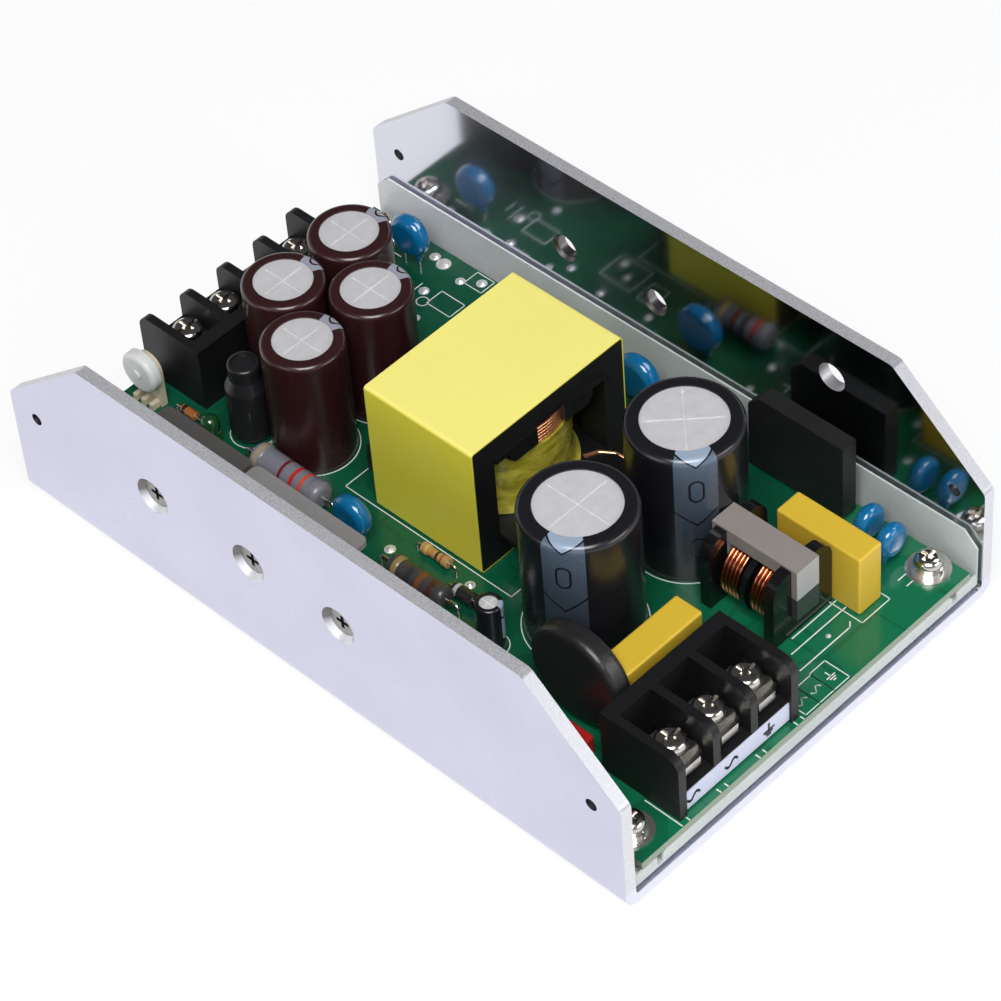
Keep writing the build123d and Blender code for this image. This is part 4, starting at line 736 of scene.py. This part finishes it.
def repeated(tree, distance, pitch):
    """Distance from the nearest of marks that repeat at a pitch."""
    turns = math_node(tree, "ADD", math_node(tree, "DIVIDE", distance, pitch), 0.5)
    part = math_node(tree, "SUBTRACT", math_node(tree, "FRACT", turns), 0.5)
    return math_node(tree, "MULTIPLY", part, pitch)


def line_at(tree, distance, half_width):
    return math_node(tree, "LESS_THAN", math_node(tree, "ABSOLUTE", distance), half_width)


place = axes(stripe_group, given["Vector"])
around = math_node(stripe_group, "ARCTAN2", place["Y"], place["X"])
arc = math_node(stripe_group, "MULTIPLY", around, given["Radius"])
arc = math_node(stripe_group, "ABSOLUTE", arc)
drop = math_node(stripe_group, "SUBTRACT", given["Sleeve Height"], place["Z"])
# The way down the sleeve starts inside its curled rim, so that the marks run over the rim
flat = add_node(
    stripe_group,
    "ShaderNodeVectorMath",
    {"operation": "MULTIPLY"},
    {0: given["Vector"], 1: (1, 1, 0)},
).outputs[0]
curl = math_node(stripe_group, "SUBTRACT", given["Radius"], length_of(stripe_group, flat))
way_down = math_node(stripe_group, "SUBTRACT", drop, curl)
below_mark = math_node(stripe_group, "SUBTRACT", way_down, given["First Mark"])
slant = math_node(stripe_group, "MULTIPLY", arc, chevron_slope)
chevron_line = math_node(stripe_group, "ADD", below_mark, slant)
chevron_rise = repeated(stripe_group, chevron_line, given["Mark Pitch"])
chevron = line_at(stripe_group, chevron_rise, chevron_half_width)
oval_line = math_node(stripe_group, "SUBTRACT", below_mark, oval_drop)
oval_rise = repeated(stripe_group, oval_line, given["Mark Pitch"])
oval_rise = math_node(stripe_group, "ABSOLUTE", oval_rise)
beyond = math_node(stripe_group, "SUBTRACT", oval_rise, oval_half_length)
beyond = math_node(stripe_group, "MAXIMUM", beyond, 0.0)
beyond_square = math_node(stripe_group, "MULTIPLY", beyond, beyond)
arc_square = math_node(stripe_group, "MULTIPLY", arc, arc)
reach = math_node(stripe_group, "SQRT", math_node(stripe_group, "ADD", beyond_square, arc_square))
from_oval = math_node(stripe_group, "SUBTRACT", reach, oval_radius)
oval = line_at(stripe_group, from_oval, oval_half_width)
for output, value in (
    ("Stripe", math_node(stripe_group, "LESS_THAN", arc, given["Half Width"])),
    ("Marks", math_node(stripe_group, "MAXIMUM", oval, chevron)),
    ("Upper", math_node(stripe_group, "LESS_THAN", chevron_line, 0.0)),
    ("Depth", math_node(stripe_group, "DIVIDE", drop, given["Sleeve Height"])),
):
    stripe_group.links.new(value, made[output])


def local_place(tree, centre, turn):
    """Object coordinates measured from a piece's own axis, turned about Z."""
    values = {"Vector": object_place(tree), "Location": centre, "Rotation": (0, 0, turn)}
    return add_node(tree, "ShaderNodeMapping", {"vector_type": "TEXTURE"}, values).outputs[0]


def dress_capacitor(name, look, half_width, stripe_turn, first_mark, vent_turn):
    """Prints the sleeve of one capacitor and scores the top of its can. Look holds the sleeve's
    colour, the stripe's three colours (painted light above its first chevron, its own tone, and
    painted shade at its bottom), and the reach of the scores as a share of the radius."""
    colour, (upper_lit, middle, lower_shaded), vent_share = look
    low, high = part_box(f"{name}_sleeve")
    centre = ((low.x + high.x) / 2, (low.y + high.y) / 2, low.z)
    radius = (high.x - low.x) / 2

    def sleeve_colours(tree):
        values = {
            "Vector": local_place(tree, centre, math.radians(stripe_turn)),
            "Radius": radius,
            "Half Width": half_width,
            "Sleeve Height": high.z - low.z,
            "First Mark": first_mark,
            "Mark Pitch": mark_pitch,
        }
        stripe = add_node(tree, "ShaderNodeGroup", {"node_tree": stripe_group}, values).outputs
        # Painted shade down the stripe, and painted light above its first chevron
        stripe_light_and_shade = mix_colour(tree, math_node(tree, "SQRT", stripe["Depth"]), middle, lower_shaded)
        stripe_light_and_shade = mix_colour(tree, stripe["Upper"], stripe_light_and_shade, upper_lit)
        striped = mix_colour(tree, stripe["Stripe"], colour, stripe_light_and_shade)
        marked = math_node(tree, "MULTIPLY", stripe["Stripe"], stripe["Marks"])
        return mix_colour(tree, marked, striped, colour)

    def can_colours(tree):
        place = axes(tree, local_place(tree, centre, math.radians(vent_turn)))
        beside = [math_node(tree, "ABSOLUTE", place[axis]) for axis in ("X", "Y")]
        score = math_node(tree, "LESS_THAN", math_node(tree, "MINIMUM", *beside), score_half_width)
        farthest = math_node(tree, "MAXIMUM", *beside)
        within = math_node(tree, "LESS_THAN", farthest, radius * vent_share)
        scored = math_node(tree, "MULTIPLY", score, within)
        scored = math_node(tree, "MULTIPLY", scored, score_share)
        return mix_colour(tree, scored, can_colour, score_colour)

    sleeve = varied(f"{name}_sleeve_print", colour, 0.26, darkening=0.15, spread=0.12, patch=120.0,
                    grain_scale=1500.0, depth=0.03 * MM, strength=0.25, base=sleeve_colours,
                    coat=0.2, coat_roughness=0.2)
    dress(sleeve, f"{name}_sleeve")
    can = varied(f"{name}_can_top", can_colour, 0.56, metallic=0.25, darkening=0.35, spread=0.25,
                 patch=420.0, grain_scale=3500.0, base=can_colours)
    dress(can, f"{name}_can")


# Half the stripe's width, the way it faces, its first mark, and the turn of the scores
for name, half_width, stripe_turn, first_mark, vent_turn in (
    ("input_capacitor_1", 4.0 * MM, -152.0, 1.5 * MM, 0.0),
    ("input_capacitor_2", 4.0 * MM, -128.0, 1.5 * MM, 45.0),
    ("control_capacitor", 1.0 * MM, -60.0, 9.0 * MM, 0.0),
):
    dress_capacitor(name, black_look, half_width, stripe_turn, first_mark, vent_turn)
for number in (1, 2, 3, 4):
    dress_capacitor(f"output_capacitor_{number}", brown_look, 2.7 * MM, -8.0, -5.0 * MM, 0.0)


# Transformer: two pressed ferrite halves round a moulded bobbin, whose winding is enamelled copper
# wire. Winding and core are each bound with yellow polyester tape.
# The core tape's top is painted lighter than its sides as painted light
tape_lit_top_colour = (0.86, 0.78, 0.21)
tape_shaded_side_colour = (0.77, 0.70, 0.06)
wrap_fold_shade_colour = (0.30, 0.26, 0.015)
wrap_flat_shaded_colour = (0.62, 0.56, 0.07)
winding_wire = 0.8
turns_short = 1.2
ferrite = varied("ferrite", (0.008, 0.008, 0.0085), 0.5, darkening=0.4, spread=0.2, patch=400.0,
                 grain_scale=4000.0, depth=0.05 * MM, strength=0.4, specular=0.3)
dress(ferrite, "transformer_core_lower", "transformer_core_upper")
bobbin_plastic = varied("bobbin_plastic", (0.007, 0.007, 0.008), 0.4, darkening=0.2, spread=0.1,
                        specular=0.3)
dress(bobbin_plastic, "transformer_bobbin")


def tape_lit_and_shaded(tree):
    top_light = graded(tree, facing_axes(tree)["Z"], 0.1, 0.9)
    return mix_colour(tree, top_light, tape_shaded_side_colour, tape_lit_top_colour)


tape = varied("core_tape", tape_shaded_side_colour, 0.36, darkening=0.09, patch=70.0, grain_scale=600.0,
              depth=0.1 * MM, strength=0.15, base=tape_lit_and_shaded, coat=0.2, coat_roughness=0.25)
dress(tape, "transformer_core_tape")


# Painted shade: the winding tape is darker than the core tape, and darker still in its folds
def wrap_colour_and_shade(tree):
    slanted = stretched_place(tree, (1.0, 1.0, 2.2), (0.0, math.radians(35), 0.0))
    fold_shade = graded(tree, noise(tree, slanted, 260.0, 3.0, distortion=0.6), 0.35, 0.65)
    return mix_colour(tree, fold_shade, wrap_fold_shade_colour, wrap_flat_shaded_colour)


winding_tape = varied("winding_tape", (0.50, 0.45, 0.05), 0.28, darkening=0.2, spread=0.2,
                      grain_scale=700.0, depth=0.3 * MM, strength=0.4, base=wrap_colour_and_shade, coat=0.4)
dress(winding_tape, "transformer_winding_tape")
copper = varied("winding_copper", (0.95, 0.42, 0.20), 0.24, metallic=0.85, darkening=0.2,
                patch=500.0, coat=0.2)


def add_coil(form, centre, axis, radius, wire, turns, steps=40, sides=12):
    """Round wire wound turn on turn. Centre is the middle of the first turn, all in millimetres."""
    centre, axis = Vector(centre), Vector(axis)
    start = Matrix.Translation((centre + Vector((radius, 0, 0))) * MM)
    if abs(axis.y) < 0.5:
        start = start @ Matrix.Rotation(math.radians(90), 4, "X")
    profile = bmesh.ops.create_circle(
        form, cap_ends=True, segments=sides, radius=wire / 2 * MM, matrix=start
    )["verts"]
    edges = dict.fromkeys(edge for vertex in profile for edge in vertex.link_edges)
    faces = dict.fromkeys(face for vertex in profile for face in vertex.link_faces)
    bmesh.ops.spin(
        form,
        geom=[*profile, *edges, *faces],
        cent=centre * MM,
        axis=axis,
        dvec=axis * (wire / steps) * MM,
        angle=2 * math.pi * turns,
        steps=int(steps * turns),
        use_merge=False,
    )


winding_low, winding_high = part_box("transformer_winding")
winding_middle = (winding_low + winding_high) / 2 / MM
winding_radius = (winding_high.x - winding_low.x) / 2 / MM - winding_wire / 2
winding_turns = (winding_high.z - winding_low.z) / MM / winding_wire - turns_short
first_turn = (winding_middle.x, winding_middle.y, winding_low.z / MM + winding_wire / 2)
coil_form = bmesh.new()
add_coil(coil_form, first_turn, (0, 0, 1), winding_radius, winding_wire, winding_turns)
winding = finish_mesh("transformer_winding_turns", coil_form, copper)
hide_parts("transformer_winding")


# Free end of the winding: stout copper wire, bent by hand, that leaves the tape and drops to a
# pin of the bobbin.
wire_end_radius = 0.45
wire_end_path = [(15.4, -7.6, 14.5), (18.0, -8.5, 14.1), (19.8, -10.8, 13.9), (20.6, -12.8, 13.2),
                 (19.8, -14.4, 12.0), (18.8, -15.0, 10.2)]


def add_rod(form, start, end, radius, sides=12):
    """Round rod with a domed end between two points given in millimetres."""
    start, end = Vector(start) * MM, Vector(end) * MM
    along = end - start
    turn = along.to_track_quat("Z", "Y").to_matrix().to_4x4()
    bmesh.ops.create_cone(
        form, cap_ends=True, segments=sides, radius1=radius * MM, radius2=radius * MM,
        depth=along.length, matrix=Matrix.Translation((start + end) / 2) @ turn,
    )
    bmesh.ops.create_uvsphere(
        form, u_segments=sides, v_segments=8, radius=radius * MM, matrix=Matrix.Translation(end)
    )


wire_end_form = bmesh.new()
for start, end in zip(wire_end_path, wire_end_path[1:]):
    add_rod(wire_end_form, start, end, wire_end_radius)
finish_mesh("winding_wire_end", wire_end_form, copper, smooth_angle=50.0)


# Common-mode choke: a pale ferrite frame with ground faces on a black moulded bobbin, and two
# coils of enamelled copper wire wound side by side round the frame's bar.
frame_front, frame_top, frame_low = (0.52, 0.51, 0.52), (0.37, 0.33, 0.31), (0.05, 0.065, 0.06)
frame_low_height = 17.3 * MM
choke_wire = 0.84
choke_turns = 5.3


def choke_colour(tree):
    front = math_node(tree, "LESS_THAN", facing_axes(tree)["Y"], -0.7)
    low = math_node(tree, "LESS_THAN", axes(tree, object_place(tree))["Z"], frame_low_height)
    return mix_colour(tree, low, mix_colour(tree, front, frame_top, frame_front), frame_low)


choke_ferrite = varied("choke_ferrite", (0.34, 0.31, 0.30), 0.36, metallic=0.3, spread=0.2,
                       patch=350.0, grain_scale=3500.0, base=choke_colour)
dress(choke_ferrite, "choke_core")
choke_plastic = varied("choke_bobbin_plastic", (0.006, 0.006, 0.007), 0.18, darkening=0.2,
                       spread=0.1)
dress(choke_plastic, "choke_bobbin")
choke_low, choke_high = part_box("choke_windings")
choke_x = (choke_low.x + choke_high.x) / 2 / MM
choke_z = (choke_low.z + choke_high.z) / 2 / MM
choke_radius = (choke_high.x - choke_low.x) / 2 / MM - choke_wire / 2
coils_form = bmesh.new()
for start in (choke_low.y / MM, choke_high.y / MM - choke_wire * (choke_turns + 1)):
    first_turn = (choke_x, start + choke_wire / 2, choke_z)
    add_coil(coils_form, first_turn, (0, 1, 0), choke_radius, choke_wire, choke_turns)
choke_copper = varied("choke_copper", (0.62, 0.20, 0.09), 0.22, metallic=1.0, patch=500.0,
                      coat=0.35)
coils = finish_mesh("choke_coils", coils_form, choke_copper)
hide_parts("choke_windings")


# Moulded and dipped parts on their own leads: film capacitors in yellow plastic boxes, bridge and
# transistors in black epoxy, the fuse in a red case, and the thermistor and the blue ceramic
# discs under a dipped coat.
film_box = varied("film_capacitor_box", (0.64, 0.43, 0.035), 0.36, darkening=0.12, spread=0.12,
                  patch=200.0)
dress(film_box, "filter_capacitor_1", "filter_capacitor_2")
moulding = varied("moulded_epoxy", (0.012, 0.012, 0.013), 0.42, darkening=0.3, patch=250.0,
                  depth=0.04 * MM, strength=0.4)
dress(moulding, "bridge_rectifier", "power_transistors")
thermistor_coat = varied("thermistor_coat", (0.016, 0.015, 0.016), 0.34, darkening=0.3, spread=0.2,
                         patch=180.0, grain_scale=900.0, depth=0.2 * MM, strength=0.35)
dress(thermistor_coat, "thermistor")
fuse_plastic = varied("fuse_plastic", (0.50, 0.018, 0.018), 0.25, darkening=0.2, patch=250.0)
dress(fuse_plastic, "fuse")
disc_coat = varied("disc_coat", (0.003, 0.145, 0.34), 0.16, darkening=0.2, spread=0.1, patch=200.0,
                   grain_scale=700.0, depth=0.1 * MM, strength=0.25, coat=0.5)
dress(disc_coat, "ceramic_capacitors")


# Resistors: three power resistors and a small one, lacquered ceramic rods on axial leads, with
# their value painted on as colour bands.
grey_body = (0.19, 0.19, 0.225)


def banded(name, ground, bands):
    """Bands are (start, end, colour) along Y, as shares of the body's length."""
    low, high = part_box(name)

    def colours(tree):
        along = math_node(tree, "SUBTRACT", axes(tree, object_place(tree))["Y"], low.y)
        share = math_node(tree, "DIVIDE", along, high.y - low.y)
        ramp = add_node(tree, "ShaderNodeValToRGB", values={0: share})
        ramp.color_ramp.interpolation = "CONSTANT"
        stops = [(0.0, ground)]
        for start, end, colour in bands:
            stops += [(start, colour), (end, ground)]
        ramp.color_ramp.elements[0].color = (*stops[0][1], 1)
        ramp.color_ramp.elements.remove(ramp.color_ramp.elements[1])
        for position, colour in stops[1:]:
            ramp.color_ramp.elements.new(position).color = (*colour, 1)
        return ramp.outputs["Color"]

    body = varied(f"{name}_bands", ground, 0.35, darkening=0.15, spread=0.1, patch=300.0,
                  base=colours, coat=0.2)
    dress(body, name)


for name, ground, bands in (
    (
        "power_resistor_1",
        grey_body,
        [
            (0.22, 0.265, (0.62, 0.07, 0.03)),
            (0.35, 0.395, (0.50, 0.02, 0.02)),
            (0.52, 0.56, (0.16, 0.012, 0.016)),
            (0.86, 0.93, (0.34, 0.27, 0.20)),
        ],
    ),
    (
        "power_resistor_2",
        (0.05, 0.047, 0.047),
        [
            (0.18, 0.27, (0.06, 0.02, 0.015)),
            (0.38, 0.47, (0.16, 0.06, 0.02)),
            (0.56, 0.65, (0.03, 0.03, 0.035)),
            (0.80, 0.88, (0.28, 0.20, 0.08)),
        ],
    ),
    (
        "power_resistor_3",
        grey_body,
        [
            (0.18, 0.27, (0.50, 0.03, 0.02)),
            (0.38, 0.47, (0.04, 0.04, 0.05)),
            (0.56, 0.65, (0.20, 0.02, 0.02)),
            (0.80, 0.88, (0.55, 0.36, 0.10)),
        ],
    ),
    (
        "small_resistor",
        (0.42, 0.25, 0.09),
        [
            (0.20, 0.28, (0.30, 0.06, 0.03)),
            (0.38, 0.46, (0.02, 0.02, 0.02)),
            (0.55, 0.63, (0.45, 0.20, 0.04)),
            (0.76, 0.83, (0.55, 0.36, 0.10)),
        ],
    ),
):
    banded(name, ground, bands)


# Diodes: one moulded black with a silver band, the other of orange glass with a black band. They
# and the other parts stand on tinned copper wire, soldered in the board.
glass_from = 20.0 * MM
band_half_width = 0.4 * MM
moulded_black, orange_glass = (0.02, 0.02, 0.022), (0.38, 0.12, 0.03)
diode_bands = ((-9.6 * MM, (0.45, 0.45, 0.47)), (60.9 * MM, (0.02, 0.015, 0.015)))


def diode_colour(tree):
    along = axes(tree, object_place(tree))["Y"]
    glass = math_node(tree, "GREATER_THAN", along, glass_from)
    colour = mix_colour(tree, glass, moulded_black, orange_glass)
    for middle, band_colour in diode_bands:
        band = line_at(tree, math_node(tree, "SUBTRACT", along, middle), band_half_width)
        colour = mix_colour(tree, band, colour, band_colour)
    return colour


diode_body = varied("diode_body", (0.04, 0.03, 0.03), 0.2, darkening=0.2, patch=400.0,
                    base=diode_colour, coat=0.4)
dress(diode_body, "diodes")
leads = varied("tinned_wire", (0.74, 0.73, 0.71), 0.24, metallic=1.0, darkening=0.3, spread=0.2,
               patch=800.0)
dress(leads, "component_leads", "transformer_pins", "choke_pins")


# Small parts by the output block: a rod choke in black shrink sleeve, a green indicator lamp with
# a moulded dome, and a trimmer whose frosted wheel turns in a cream plastic base.
rod_sleeve = varied("rod_choke_sleeve", (0.014, 0.014, 0.016), 0.3, darkening=0.2, patch=200.0,
                    depth=0.1 * MM)
dress(rod_sleeve, "rod_choke")
lamp_lens = varied("lamp_lens", (0.01, 0.06, 0.018), 0.12, darkening=0.2, patch=400.0, coat=0.6)
dress(lamp_lens, "indicator_lamp")
trimmer_cream = varied("trimmer_comb", (0.66, 0.58, 0.42), 0.42, darkening=0.2, patch=300.0)
dress(trimmer_cream, "trimmer_base")
trimmer_frost = varied("trimmer_frost", (0.68, 0.70, 0.68), 0.4, darkening=0.12, patch=300.0)
frost_shader = trimmer_frost.node_tree.nodes["Principled BSDF"].inputs
frost_shader["Subsurface Weight"].default_value = 0.3
frost_shader["Subsurface Scale"].default_value = 2 * MM
dress(trimmer_frost, "trimmer_wheel")


# Heat-spreading angles: bent aluminium sheet that the wall screws clamp over the power
# transistors, with grey rubber pads between them and the left wall.
for node, colour in (("heat_angle_1", (0.50, 0.49, 0.48)), ("heat_angle_2", (0.18, 0.17, 0.16))):
    angle_metal = varied(f"{node}_metal", colour, 0.36, metallic=0.6, darkening=0.3, spread=0.2,
                         patch=120.0, grain_scale=1500.0)
    dress(angle_metal, node)
pad_rubber = varied("pad_rubber", (0.42, 0.44, 0.45), 0.6, darkening=0.2, patch=300.0)
dress(pad_rubber, "thermal_pads")
